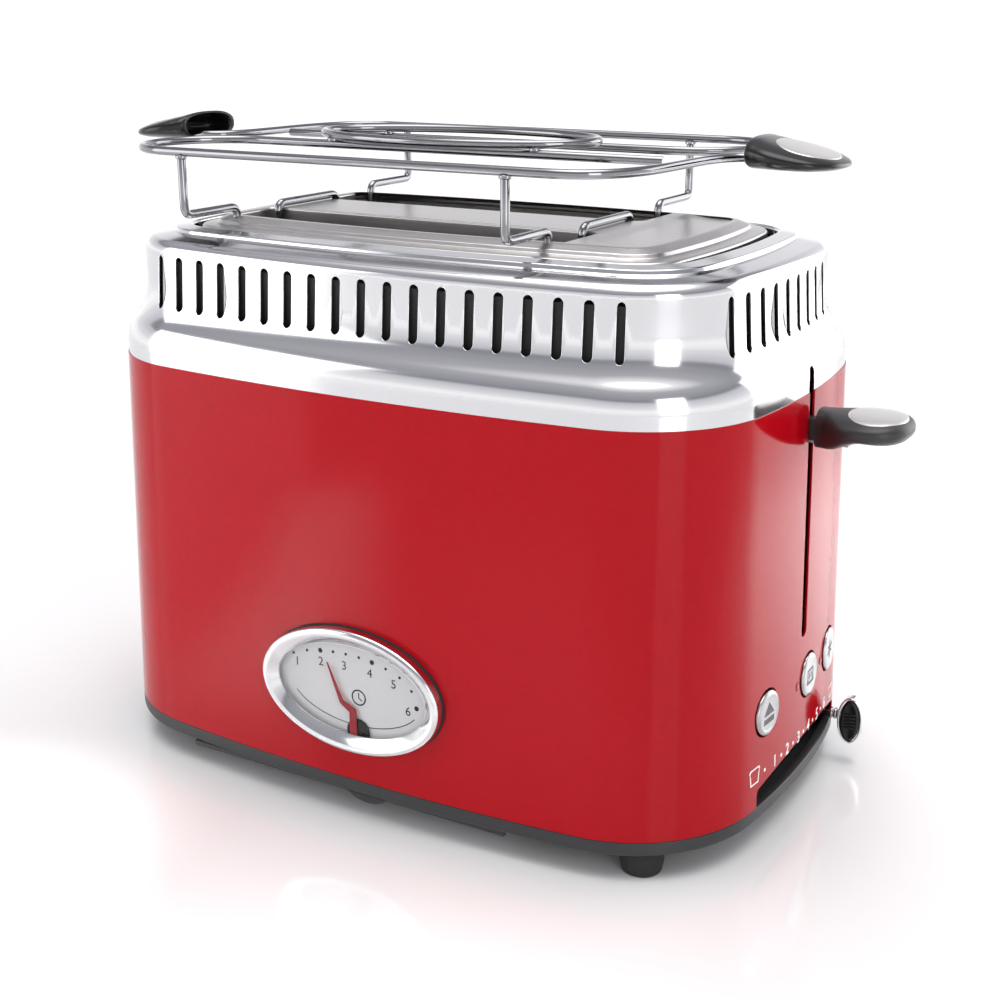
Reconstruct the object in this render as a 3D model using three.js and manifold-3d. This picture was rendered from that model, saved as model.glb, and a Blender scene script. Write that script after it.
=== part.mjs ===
// Toaster with two long wide slots, a warming rack and a front gauge.
// Millimetres, +Z up. It stands on z = 0, its gauge faces -Y and its lever end faces +X.
import * as THREE from "three";
import { mergeVertices } from "three/addons/utils/BufferGeometryUtils.js";
import Module from "manifold-3d";

const wasm = await Module();
wasm.setup();

// Driving dimensions of the body
const bodyLength = 280; // at the seam between wrap and collar, as bodyDepth is
const bodyDepth = 185.4;
const cornerRadius = 50.3;
const sideBow = 11.3; // rise of each long side over the body's length
const endBow = 12.7; // rise of each end over the body's depth
const wrapFlare = 4.2; // how far the wrap spreads on every side down to its foot
const footHeight = 10;
const stripHeight = 5.7;
const wrapHeight = 149.5;
const steelSheet = 0.8; // wrap and collar
const seatGap = 0.3; // between pieces that seat on each other
const overrun = 5; // how far a cutting body runs past what it cuts
const sideSteps = 4; // facets of a quarter of the body's plan
const cornerSteps = 6;
const endSteps = 3;

// Places that the others follow
const wrapFoot = footHeight + stripHeight + seatGap;
const seam = wrapFoot + wrapHeight;
const bodyEnd = bodyLength / 2;
const bodySide = bodyDepth / 2;

// Collar: a seam band, a convex shoulder, a concave throat, a vented wall and a stepped top
const collar = {
  foot: seam + seatGap,
  seamInset: 0.4,
  bandHeight: 4.2,
  shoulderRadius: 16,
  throatRadius: 24,
  sweep: THREE.MathUtils.degToRad(40),
  wallHeight: 11.8,
  edgeRadius: 5,
  edgeSweep: THREE.MathUtils.degToRad(80),
  ledgeWidth: 6.7,
  ledgeRise: 1.2,
  stepWidth: 0.8,
  stepRise: 1.8,
  ringWidth: 7.1,
  ringRise: 0.9,
  lipDepth: 3.4,
};
const vent = {
  width: 4.2,
  height: 21,
  drop: 0.5,
  sideCount: 19,
  sidePitch: 11.05,
  endCount: 10,
  endPitch: 10.9,
};
const liner = { sheet: 1, clearance: 0.5, height: 24, topDrop: 2.5 };

// Top plate with its two bread slots
const plate = {
  sheet: 1,
  sideClearance: 0.8, // to the collar's lip along the long sides
  endTrim: 3.2, // how much shorter it is than the collar's opening at each end
  skirt: 3.5,
  brimRise: 0.5,
  brimWidth: 6,
  stepWidth: 1,
  stepRise: 1.5,
  treadWidth: 4.5,
  crownRise: 1.7,
};
const slotMargin = { left: 50, right: 78, side: 43.2 }; // from the body's ends and sides to the slots
const slot = {
  left: -bodyEnd + slotMargin.left,
  right: bodyEnd - slotMargin.right,
  inner: 17,
  outer: bodySide - slotMargin.side,
  endRadius: 5,
  lipDepth: 9,
  lipSheet: 0.8,
};
const dish = { gap: 2, length: 34, width: 96, depth: 0.5, corner: 14 };

// Lever slot, with its top in the collar, and the carriage's arm in it at rest
const leverSlot = { width: 5.5, bottom: 70, rise: 9.8 };
leverSlot.top = seam + leverSlot.rise;
const arm = { drop: 9.5, height: 9, thickness: 3.2, stop: 1 };
arm.top = seam - arm.drop;
arm.bottom = arm.top - arm.height;

// Buttons and lights in the right end, with heights from the floor
const button = { places: [-33.5, 7, 35], height: 52, radius: 9.2, clearance: 0.4, proud: 1.2, crown: 1 };
const buttonStem = { radius: 3, rim: 6, stroke: 2 };
const light = { places: [-5.5, 22.8], height: 51.5, radius: 1.6, proud: 0.4 };
const gland = {
  y: 40,
  height: 29,
  radius: 6.5,
  bore: 3.6,
  flange: 2,
  flangeRim: 2.5,
  wall: 2,
  grip: 7,
};

// Browning slider: a notch at the wrap's foot, the stem in it and the potentiometer behind
const notchMargin = { front: 52.7, back: 41.7 }; // from the body's sides
const browningSlot = { from: -bodySide + notchMargin.front, to: bodySide - notchMargin.back, height: 7.2 };
const stem = { margin: 6, frontMargin: 9, halfWidth: 1.5, rise: 2.2, height: 2.6, engagement: 1.8 };
stem.y = browningSlot.to - stem.margin;
stem.low = wrapFoot + stem.rise;
stem.high = stem.low + stem.height;
const browningKnob = { standOff: 3.9, halfWidth: 5.3, halfHeight: 10.2, drop: 1.2, halfDepth: 2.6, rim: 0.9 };
browningKnob.height = stem.high - stem.height / 2 - browningKnob.drop;
browningKnob.face = endWall(stem.y, wrapInset(browningKnob.height)) + browningKnob.standOff;

// Base mouldings behind the wrap's foot
const floorSheet = 2.5;
const floorTop = footHeight + floorSheet;
const baseTop = footHeight + stripHeight;
const stripWall = 3.5;
const upstand = { height: 8, wall: 2.4 };
upstand.outer = -wrapFlare + steelSheet + 2 * seatGap;
upstand.inner = upstand.outer + upstand.wall;

const pot = { margin: 6, endMargin: 1, depth: 4.4, height: 12, clearance: 0.7 };
pot.from = browningSlot.from - pot.margin;
pot.to = browningSlot.to - pot.endMargin;
pot.face = endWall(Math.max(pot.to, -pot.from), upstand.inner) - pot.clearance - pot.depth;
const board = { sheet: 1.6, low: 22, high: 64, stand: 3.6, frontMargin: 2, backMargin: 2 };
board.face = pot.face - board.stand;
board.from = pot.from - board.frontMargin;
board.to = pot.to + board.backMargin;

// Gauge, laid out in layers from the bezel's rim back to the housing's flange inside the wrap
const gauge = { halfWidth: 40.3, halfHeight: 24.9, height: 53.3, lipInset: 6.8 };
const gaugeRing = { rimWidth: 3.1, rimDrop: 0.4, shoulder: 1.7, coneDepth: 3.2, lip: 0.5, wall: 2.1 };
const lens = { sheet: 0.9, margin: 0.1 };
lens.inset = gauge.lipInset - gaugeRing.lip + lens.margin;
lens.behind = gaugeRing.coneDepth - (gaugeRing.lip + seatGap) / 2 - lens.sheet;
const hand = {
  sheet: 0.4,
  length: 27,
  width: 3.2,
  kneeHeight: 9.1,
  kneeRise: 2.8,
  kneeShift: 5.1,
  bladeWidth: 1.5,
  tipShift: 11.3,
};
hand.behind = gaugeRing.coneDepth + gaugeRing.lip + seatGap;
const cover = { radius: 5.2, shift: 1.9, rise: 0.8, sheet: 0.4 };
cover.behind = hand.behind + hand.sheet + seatGap;
const dial = { sheet: 1, shaft: 0.9, hub: 1.7 };
dial.inset = gaugeRing.wall + seatGap;
dial.behind = cover.behind + cover.sheet + seatGap;
dial.pivotHeight = gauge.height - gauge.halfHeight + gauge.lipInset;
gauge.depth = dial.behind + dial.sheet;
const cup = { flange: 3.6, flangeSheet: 1.5, wall: 1.5, depth: 16, inset: 2.6 };
cup.front = flangeFront();
gauge.front = cup.front - seatGap - gauge.depth;
const motor = { halfWidth: 9, halfHeight: 7, grip: 3, gap: 2.1 };
motor.face = cup.front + motor.gap;

// Inside, around the two slots
const frameSheet = 1.2;
const frameMargin = 4; // from a slot's end to the frame behind it
const frameLeft = slot.left - frameMargin;
const frameRight = slot.right + frameMargin;
const frame = { topGap: 0.4, sideMargin: 12.5 };
frame.halfWidth = slot.outer + frame.sideMargin;
const grill = {
  outerMargin: 1.5,
  innerMargin: 2,
  sheet: 1.6,
  bottom: 44,
  topDrop: 13.7,
  rail: 5,
  bar: 2,
  count: 11,
  running: 0.5,
};
grill.outer = slot.outer + grill.outerMargin;
grill.inner = slot.inner - grill.innerMargin;
const heater = { outerMargin: 7.5, innerMargin: 9, sheet: 0.9, bottom: 40, topDrop: 23.7 };
heater.outer = slot.outer + heater.outerMargin;
heater.inner = slot.inner - heater.innerMargin;
const reflector = { margin: 11.1, sheet: 0.8, topDrop: 14 };

// Carriage at rest, with the lever up
const carriage = { gap: 2.9, sheet: 1.5, sideMargin: 8.8, topDrop: 6, height: 31 };
carriage.face = frameRight + frameSheet + carriage.gap;
carriage.top = arm.top - carriage.topDrop;
carriage.bottom = carriage.top - carriage.height;
carriage.drop = arm.bottom - leverSlot.bottom - arm.stop;
const support = { drop: 15, height: 8, sheet: 1.6, finger: 12, fingerCount: 5, fingerInset: 22 };
support.place = (slot.inner + slot.outer) / 2;
support.top = carriage.top - support.drop;
carriage.halfWidth = support.place + carriage.sideMargin;
const rod = { gap: 9.9, y: 24, radius: 2.5, bushClearance: 0.5, bushWall: 2.6, topDrop: 12 };
rod.x = carriage.face + rod.gap;
const spring = { y: -24, coilRadius: 4, wire: 1, turns: 9, length: 46, anchor: 1.2 };
const magnet = { gap: 15, y: -4, halfWidth: 9, halfDepth: 10, core: 5, coreProud: 8.7 };
magnet.x = rod.x + magnet.gap;

// Lever knob, which stands clear of the wrap and is pushed on the end of the lever's arm
const knob = {
  standOff: 3.2,
  length: 33.8,
  halfWidth: 16.5,
  rise: 4.2,
  thickness: 9,
  neckHalfWidth: 7,
  ribDrop: 5.6,
};
knob.top = arm.top + knob.rise;
knob.bottom = knob.top - knob.thickness;
knob.ribBottom = knob.bottom - knob.ribDrop;
knob.root = endWall(0, wrapInset(knob.bottom)) + knob.standOff;
knob.tip = knob.root + knob.length;
const knobInset = { margin: 8.9, length: 22.5, halfWidth: 13.2, proud: 0.5, depth: 1.4 };

// Warming rack, laid out from its middle and the same when it is turned half round
const rackWire = 3.3;
const rack = {
  shift: 3.5, // of its middle from the middle of the slots
  rise: 81.2,
  sideMargin: 15.7,
  inner: 20,
  bendEnd: 109.5,
  innerEnd: 97.5,
  ovalHalfLength: 60,
  ovalHalfWidth: 31,
  legMargin: { left: 5, right: 6.5 }, // from each end of the slots to the leg
  dip: 8,
  footRise: 1.4,
  bend: 2.5,
};
rack.middle = (slot.left + slot.right) / 2 + rack.shift;
rack.height = seam + rack.rise;
rack.rail = bodySide - rack.sideMargin;
// Each rail's free end swings in and enters a handle: [from the middle, share of the rail's y]
const railEndShares = [
  [76.5, 1], [86.5, 0.994], [95, 0.948], [101.5, 0.851], [105.5, 0.714], [107.5, 0.545],
  [108.5, 0.286], [109.5, 0.104], [112, -0.026], [117.5, -0.104], [128, -0.117], [149, -0.117],
];
const railEnd = railEndShares.map(([x, share]) => [x, -rack.rail * share]);
const handle = {
  grip: 23, // how far the wire reaches into it
  length: 31.6,
  halfWidth: 21,
  rise: 10.7,
  tipRise: 3.1,
  drop: 2.5,
  wall: 3.4,
};
handle.base = railEnd.at(-1)[0] - handle.grip;
handle.tip = handle.base + handle.length;
handle.top = rack.height + handle.rise;
handle.tipTop = rack.height + handle.tipRise;
handle.bottom = rack.height - handle.drop;
const handleHollow = { depth: 14, halfWidth: 15, height: 8.6 };
const handleInset = { halfLength: 10.5, halfWidth: 14.6, sheet: 1, proud: 0.2, shift: 15.5 };

// One solid from a three.js geometry
function solid(geometry) {
  const bare = geometry.clone();
  for (const name of ["normal", "uv"]) bare.deleteAttribute(name);
  const merged = mergeVertices(bare);
  return new wasm.Manifold(
    new wasm.Mesh({
      numProp: 3,
      vertProperties: new Float32Array(merged.attributes.position.array),
      triVerts: new Uint32Array(merged.index.array),
    }),
  );
}

function join(...bodies) {
  return bodies.reduce((all, body) => all.add(body));
}

function cut(body, ...tools) {
  return tools.reduce((left, tool) => left.subtract(tool), body);
}

function surface(points, faces) {
  const geometry = new THREE.BufferGeometry();
  geometry.setAttribute("position", new THREE.Float32BufferAttribute(points.flat(), 3));
  geometry.setIndex(faces.flat());
  return geometry;
}

function block([x0, x1], [y0, y1], [z0, z1]) {
  const geometry = new THREE.BoxGeometry(x1 - x0, y1 - y0, z1 - z0);
  geometry.translate((x0 + x1) / 2, (y0 + y1) / 2, (z0 + z1) / 2);
  return solid(geometry);
}

function roundBar(radius, from, to, axis, sides = 20) {
  const span = new THREE.Vector3().subVectors(to, from);
  const geometry = new THREE.CylinderGeometry(radius, radius, span.length(), sides);
  if (axis === "x") geometry.rotateZ(-Math.PI / 2);
  if (axis === "z") geometry.rotateX(Math.PI / 2);
  geometry.translate(...from.clone().addScaledVector(span, 1 / 2).toArray());
  return solid(geometry);
}

const at = (x, y, z) => new THREE.Vector3(x, y, z);
const span = (middle, half) => [middle - half, middle + half];

// A flat shape raised along one axis, from a low to a high place
function raise(shape, axis, low, high, curveSegments = 3) {
  const settings = { depth: high - low, bevelEnabled: false, curveSegments };
  const geometry = new THREE.ExtrudeGeometry(shape, settings);
  geometry.translate(0, 0, axis === "y" ? -high : low);
  const turn = new THREE.Matrix4();
  if (axis === "y") turn.makeBasis(at(1, 0, 0), at(0, 0, 1), at(0, -1, 0));
  if (axis === "x") turn.makeBasis(at(0, 1, 0), at(0, 0, 1), at(1, 0, 0));
  return solid(geometry.applyMatrix4(turn));
}

function roundedBox(x0, x1, y0, y1, radius) {
  const shape = new THREE.Shape();
  shape.moveTo(x0 + radius, y0);
  shape.lineTo(x1 - radius, y0);
  shape.absarc(x1 - radius, y0 + radius, radius, -Math.PI / 2, 0);
  shape.lineTo(x1, y1 - radius);
  shape.absarc(x1 - radius, y1 - radius, radius, 0, Math.PI / 2);
  shape.lineTo(x0 + radius, y1);
  shape.absarc(x0 + radius, y1 - radius, radius, Math.PI / 2, Math.PI);
  shape.lineTo(x0, y0 + radius);
  shape.absarc(x0 + radius, y0 + radius, radius, Math.PI, 1.5 * Math.PI);
  return shape;
}

function ellipse(halfWidth, halfHeight, middle = 0, height = 0) {
  const shape = new THREE.Shape();
  shape.absellipse(middle, height, halfWidth, halfHeight, 0, 2 * Math.PI);
  return shape;
}

// The gauge's oval seen from the front, spread by grow
function gaugeOval(grow) {
  return ellipse(gauge.halfWidth + grow, gauge.halfHeight + grow, 0, gauge.height);
}

// The body's plan drawn in by inset: four bowed sides and four round corners, all arcs.
// endTrim pulls both ends in without changing the depth.
function outline(inset, endTrim = 0) {
  const a = bodyEnd - endTrim;
  const b = bodySide;
  const sideRadius = (a * a + sideBow * sideBow) / (2 * sideBow);
  const endRadius = (b * b + endBow * endBow) / (2 * endBow);
  const sideCentre = new THREE.Vector2(0, b - sideRadius);
  const endCentre = new THREE.Vector2(a - endRadius, 0);
  const between = new THREE.Vector2().subVectors(endCentre, sideCentre);
  const r1 = sideRadius - cornerRadius;
  const r2 = endRadius - cornerRadius;
  const reach = between.length();
  const along = (r1 * r1 - r2 * r2 + reach * reach) / (2 * reach);
  const off = Math.sqrt(r1 * r1 - along * along);
  const u = between.clone().normalize();
  const corner = sideCentre.clone().addScaledVector(u, along);
  corner.add(new THREE.Vector2(u.y, -u.x).multiplyScalar(off));
  const sideAngle = Math.atan2(corner.y - sideCentre.y, corner.x - sideCentre.x);
  const endAngle = Math.atan2(corner.y - endCentre.y, corner.x - endCentre.x);
  const arc = (centre, radius, from, to, steps) =>
    Array.from({ length: steps }, (_, i) => {
      const angle = from + ((to - from) * i) / steps;
      return [centre.x + (radius - inset) * Math.cos(angle), centre.y + (radius - inset) * Math.sin(angle)];
    });
  const quarter = [
    ...arc(endCentre, endRadius, 0, endAngle, endSteps),
    ...arc(corner, cornerRadius, endAngle, sideAngle, cornerSteps),
    ...arc(sideCentre, sideRadius, sideAngle, Math.PI / 2, sideSteps),
  ];
  const top = [0, b - inset];
  const left = quarter.slice(1).reverse().map(([x, y]) => [-x, y]);
  const upper = [...quarter, top, ...left];
  const lower = upper.slice(1).reverse().map(([x, y]) => [x, -y]);
  return [...upper, [-(a - inset), 0], ...lower];
}

// A ring that follows the body's plan: profile is a closed list of [inset, height]
function ringBody(profile, endTrim = 0) {
  const rings = profile.map(([inset, z]) => outline(inset, endTrim).map(([x, y]) => [x, y, z]));
  const n = rings[0].length;
  const faces = [];
  rings.forEach((ring, k) => {
    const next = ((k + 1) % rings.length) * n;
    for (let i = 0; i < n; i += 1) {
      const j = (i + 1) % n;
      faces.push([k * n + i, k * n + j, next + j], [k * n + i, next + j, next + i]);
    }
  });
  return solid(surface(rings.flat(), faces));
}

// A closed slab that follows the body's plan, from its lowest to its highest [inset, height]
function slabBody(profile, endTrim = 0) {
  const rings = profile.map(([inset, z]) => outline(inset, endTrim).map(([x, y]) => [x, y, z]));
  const n = rings[0].length;
  const points = rings.flat();
  const faces = [];
  for (let k = 0; k + 1 < rings.length; k += 1) {
    for (let i = 0; i < n; i += 1) {
      const j = (i + 1) % n;
      faces.push([k * n + i, k * n + j, (k + 1) * n + j], [k * n + i, (k + 1) * n + j, (k + 1) * n + i]);
    }
  }
  const low = points.push([0, 0, profile[0][1]]) - 1;
  const high = points.push([0, 0, profile.at(-1)[1]]) - 1;
  const last = (rings.length - 1) * n;
  for (let i = 0; i < n; i += 1) {
    const j = (i + 1) % n;
    faces.push([low, j, i], [high, last + i, last + j]);
  }
  return solid(surface(points, faces));
}

// The place and outward direction on the plan at a walk of s along it from the middle of a side
function walk(inset, side, s) {
  const ring = outline(inset);
  const starts = { end: 0, back: ring.length / 4, left: ring.length / 2, front: (3 * ring.length) / 4 };
  let i = starts[side];
  let left = Math.abs(s);
  const way = s < 0 ? -1 : 1;
  for (;;) {
    const next = (i + way + ring.length) % ring.length;
    const [x0, y0] = ring[i];
    const [x1, y1] = ring[next];
    const length = Math.hypot(x1 - x0, y1 - y0);
    const [dx, dy] = [(x1 - x0) / length, (y1 - y0) / length];
    if (left <= length) return { x: x0 + dx * left, y: y0 + dy * left, out: at(dy * way, -dx * way, 0) };
    left -= length;
    i = next;
  }
}

// From the middle out to the wall along one axis, at a place on the other, drawn in by inset
function wallAt(along, place, inset) {
  const across = 1 - along;
  const quarter = outline(inset).slice(0, endSteps + cornerSteps + sideSteps + 1);
  const ring = along ? quarter.reverse() : quarter;
  const i = Math.max(1, ring.findIndex((spot) => spot[across] >= Math.abs(place)));
  const [from, to] = [ring[i - 1], ring[i]];
  const share = (Math.abs(place) - from[across]) / (to[across] - from[across]);
  return from[along] + share * (to[along] - from[along]);
}

function endWall(y, inset) {
  return wallAt(0, y, inset);
}

function sideWall(x, inset) {
  return wallAt(1, x, inset);
}

// Front of the gauge's flange, which lies against the inside of the bowed and flared wrap
function flangeFront() {
  const steps = 36;
  const reach = Array.from({ length: steps }, (_, i) => {
    const angle = (2 * Math.PI * i) / steps;
    const x = (gauge.halfWidth + cup.flange) * Math.cos(angle);
    const z = gauge.height + (gauge.halfHeight + cup.flange) * Math.sin(angle);
    return sideWall(x, wrapInset(z));
  });
  return -Math.min(...reach) + steelSheet + seatGap;
}

// How far the wrap stands outside the seam's plan at a height
function wrapInset(z) {
  return (-wrapFlare * (seam - z)) / wrapHeight;
}

// A wire's route that passes through its points one by one, so that bends get as many as they need
class Route extends THREE.Curve {
  constructor(points) {
    super();
    this.points = points;
  }
  getPoint(t) {
    const place = t * (this.points.length - 1);
    const i = Math.min(Math.floor(place), this.points.length - 2);
    return this.points[i].clone().lerp(this.points[i + 1], place - i);
  }
  getPointAt(t) {
    return this.getPoint(t);
  }
  getTangentAt(t) {
    const i = Math.round(t * (this.points.length - 1));
    const before = this.points[Math.max(i - 1, 0)];
    const after = this.points[Math.min(i + 1, this.points.length - 1)];
    return after.clone().sub(before).normalize();
  }
}

function wire(points, diameter, sides = 8) {
  const section = new THREE.Shape();
  const radius = diameter / 2;
  for (let i = 0; i < sides; i += 1) {
    const angle = (2 * Math.PI * i) / sides;
    section[i ? "lineTo" : "moveTo"](radius * Math.cos(angle), radius * Math.sin(angle));
  }
  const settings = { steps: points.length - 1, bevelEnabled: false, extrudePath: new Route(points) };
  return solid(new THREE.ExtrudeGeometry(section, settings));
}

// A closed wire loop in a flat plane
function wireLoop(places, diameter, sides = 8) {
  const points = [];
  const faces = [];
  const n = places.length;
  places.forEach((place, k) => {
    const away = places[(k + 1) % n].clone().sub(places[(k + n - 1) % n]).normalize();
    const out = at(away.y, -away.x, 0);
    for (let i = 0; i < sides; i += 1) {
      const angle = (2 * Math.PI * i) / sides;
      const rise = (diameter / 2) * Math.sin(angle);
      const reach = (diameter / 2) * Math.cos(angle);
      points.push([place.x + out.x * reach, place.y + out.y * reach, place.z + rise]);
      const j = (i + 1) % sides;
      const next = ((k + 1) % n) * sides;
      faces.push([k * sides + i, next + i, next + j], [k * sides + i, next + j, k * sides + j]);
    }
  });
  return solid(surface(points, faces));
}

// The same route with its corners rounded
function rounded(points, radius, steps = 4) {
  const route = [points[0]];
  for (let i = 1; i + 1 < points.length; i += 1) {
    const into = points[i].clone().sub(points[i - 1]).normalize();
    const from = points[i + 1].clone().sub(points[i]).normalize();
    const start = points[i].clone().addScaledVector(into, -radius);
    const end = points[i].clone().addScaledVector(from, radius);
    const bend = new THREE.QuadraticBezierCurve3(start, points[i], end);
    route.push(...bend.getPoints(steps));
  }
  route.push(points.at(-1));
  return route;
}

const toaster = new THREE.Group();
function add(name, body, color, roughness, metalness) {
  const mesh = body.getMesh();
  const geometry = new THREE.BufferGeometry();
  geometry.setAttribute("position", new THREE.BufferAttribute(mesh.vertProperties, 3));
  geometry.setIndex(new THREE.BufferAttribute(mesh.triVerts, 1));
  const material = new THREE.MeshStandardMaterial({ color, roughness, metalness });
  const piece = new THREE.Mesh(geometry, material);
  piece.name = name;
  toaster.add(piece);
}
const red = [0xb3121f, 0.22, 0.1];
const chrome = [0xd4d4d6, 0.12, 1];
const brushed = [0xc9c8c6, 0.35, 1];
const black = [0x1d1d1f, 0.45, 0];
const galvanised = [0xa9acaf, 0.5, 1];
const rubber = [0x19191a, 0.85, 0];
const mica = [0xb59b6b, 0.6, 0];
const greenBoard = [0x2f5d3a, 0.6, 0];
const white = [0xf3f2ee, 0.4, 0];
const clear = [0xdfe6ea, 0.05, 0];
const redLight = [0xd01818, 0.3, 0];

// Painted wrap, one closed band of sheet with every opening that the controls need
function wrap() {
  const band = ringBody([
    [-wrapFlare, wrapFoot],
    [0, seam],
    [steelSheet, seam],
    [steelSheet - wrapFlare, wrapFoot],
  ]);
  const outside = bodyEnd + wrapFlare + overrun;
  const inside = bodyEnd - endBow - overrun;
  const leverCut = block([inside, outside], span(0, leverSlot.width / 2), [leverSlot.bottom, seam + overrun]);
  const notch = block(
    [inside, outside],
    [browningSlot.from, browningSlot.to],
    [wrapFoot - overrun, wrapFoot + browningSlot.height],
  );
  const bore = (radius, y, z, sides) => roundBar(radius, at(inside, y, z), at(outside, y, z), "x", sides);
  const holes = button.places.map((y) => bore(button.radius + button.clearance, y, button.height, 28));
  const lightHoles = light.places.map((y) => bore(light.radius + seatGap, y, light.height, 12));
  const frontCut = raise(gaugeOval(seatGap), "y", -bodySide - wrapFlare - overrun, -bodySide + sideBow, 14);
  const cordHole = roundBar(
    gland.radius + seatGap,
    at(-outside, gland.y, gland.height),
    at(-inside, gland.y, gland.height),
    "x",
  );
  return cut(band, leverCut, notch, ...holes, ...lightHoles, frontCut, cordHole);
}

// Section of the collar's outer face as [inset, height], from the seam up and in to the lip
function collarFace(thickness, steps) {
  const { sweep, edgeSweep } = collar;
  const points = [[collar.seamInset + thickness, collar.foot]];
  let z = collar.foot + collar.bandHeight;
  const shoulderInset = collar.seamInset + collar.shoulderRadius;
  for (let i = 0; i <= steps; i += 1) {
    const angle = (sweep * i) / steps;
    const radius = collar.shoulderRadius - thickness;
    points.push([shoulderInset - radius * Math.cos(angle), z + radius * Math.sin(angle)]);
  }
  z += (collar.shoulderRadius + collar.throatRadius) * Math.sin(sweep);
  const wallInset = collarWallInset();
  for (let i = steps - 1; i >= 0; i -= 1) {
    const angle = (sweep * i) / steps;
    const radius = collar.throatRadius + thickness;
    points.push([wallInset - collar.throatRadius + radius * Math.cos(angle), z - radius * Math.sin(angle)]);
  }
  z += collar.wallHeight;
  const edgeInset = wallInset + collar.edgeRadius;
  for (let i = 0; i <= steps; i += 1) {
    const angle = (edgeSweep * i) / steps;
    const radius = collar.edgeRadius - thickness;
    points.push([edgeInset - radius * Math.cos(angle), z + radius * Math.sin(angle)]);
  }
  let inset = edgeInset + collar.ledgeWidth;
  z += collar.edgeRadius * Math.sin(edgeSweep) + collar.ledgeRise;
  points.push([inset, z - thickness]);
  inset += collar.stepWidth;
  z += collar.stepRise;
  points.push([inset + thickness / 2, z - thickness]);
  return { points, inset, z };
}

function collarWallInset() {
  return collar.seamInset + (collar.shoulderRadius + collar.throatRadius) * (1 - Math.cos(collar.sweep));
}

const collarTop = (() => {
  const { inset, z } = collarFace(0, 1);
  return { lipInset: inset + collar.ringWidth, height: z + collar.ringRise };
})();
const ventTop = collarTop.height - collar.ringRise - collar.stepRise - collar.ledgeRise
  - collar.edgeRadius * Math.sin(collar.edgeSweep) - vent.drop;

function collarBody() {
  const outer = collarFace(0, 3).points;
  const inner = collarFace(steelSheet, 2).points;
  const { lipInset, height } = collarTop;
  const lip = [
    [lipInset, height],
    [lipInset, height - collar.lipDepth],
    [lipInset - steelSheet, height - collar.lipDepth],
    [lipInset - steelSheet, height - steelSheet],
  ];
  const shell = ringBody([...outer, ...lip, ...inner.reverse()]);
  const stadium = new THREE.Shape();
  const radius = vent.width / 2;
  const reach = vent.height / 2 - radius;
  stadium.absarc(0, reach, radius, 0, Math.PI);
  stadium.absarc(0, -reach, radius, Math.PI, 2 * Math.PI);
  const slotTool = new THREE.ExtrudeGeometry(stadium, {
    depth: collar.throatRadius,
    bevelEnabled: false,
    curveSegments: 1,
  });
  slotTool.translate(0, 0, -collar.throatRadius / 2);
  const tools = [];
  const rows = { front: "side", back: "side", end: "end", left: "end" };
  for (const [side, kind] of Object.entries(rows)) {
    const count = vent[kind + "Count"];
    for (let i = 0; i < count; i += 1) {
      const spot = walk(collarWallInset(), side, (i - (count - 1) / 2) * vent[kind + "Pitch"]);
      const across = new THREE.Vector3().crossVectors(at(0, 0, 1), spot.out);
      const pose = new THREE.Matrix4().makeBasis(across, at(0, 0, 1), spot.out);
      pose.setPosition(spot.x, spot.y, ventTop - vent.height / 2);
      tools.push(solid(slotTool.clone().applyMatrix4(pose)));
    }
  }
  const leverCut = block(
    [bodyEnd - endBow, bodyEnd + overrun],
    span(0, leverSlot.width / 2),
    [collar.foot - overrun, leverSlot.top],
  );
  return cut(shell, join(...tools), leverCut);
}

// Dark band that backs the vents
function ventLiner() {
  const outer = collarWallInset() + steelSheet + liner.clearance;
  const top = ventTop - liner.topDrop + vent.drop;
  const face = [
    [outer, top - liner.height],
    [outer, top],
    [outer + liner.sheet, top],
    [outer + liner.sheet, top - liner.height],
  ];
  return ringBody(face);
}

// Height of the top plate's crown, around the slots
const plateEdge = { inset: collarTop.lipInset + plate.sideClearance, height: collarTop.height - seatGap };
const plateCrown = plateEdge.height + plate.brimRise + plate.stepRise + plate.crownRise;

// Places of a slot's mouth on the side of y = 0 that sign gives
function slotMouth(sign, grow) {
  const low = sign > 0 ? slot.inner : -slot.outer;
  const high = sign > 0 ? slot.outer : -slot.inner;
  return roundedBox(slot.left - grow, slot.right + grow, low - grow, high + grow, slot.endRadius + grow);
}

function topPlate() {
  const { inset, height } = plateEdge;
  const stepFoot = inset + plate.brimWidth;
  const treadFoot = stepFoot + plate.stepWidth;
  const crownFoot = treadFoot + plate.treadWidth;
  const skin = (drop, spread) => [
    [inset + spread, height - plate.skirt],
    [inset + spread, height - drop],
    [stepFoot, height + plate.brimRise - drop],
    [treadFoot, height + plate.brimRise + plate.stepRise - drop],
    [crownFoot, plateCrown - drop],
  ];
  const outer = slabBody(skin(0, 0), plate.endTrim);
  const under = slabBody(
    [[inset + plate.sheet, height - plate.skirt - overrun], ...skin(plate.sheet, plate.sheet).slice(1)],
    plate.endTrim,
  );
  let body = cut(outer, under);
  for (const sign of [-1, 1]) {
    const lip = raise(slotMouth(sign, 0), "z", plateCrown - slot.lipDepth, plateCrown - plate.sheet / 2);
    body = join(body, lip);
  }
  for (const sign of [-1, 1]) {
    const low = plateCrown - slot.lipDepth - overrun;
    body = cut(body, raise(slotMouth(sign, -slot.lipSheet), "z", low, plateCrown + overrun));
  }
  const padLeft = slot.right + dish.gap;
  const pad = roundedBox(padLeft, padLeft + dish.length, -dish.width / 2, dish.width / 2, dish.corner);
  return cut(body, raise(pad, "z", plateCrown - dish.depth, plateCrown + overrun));
}

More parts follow.
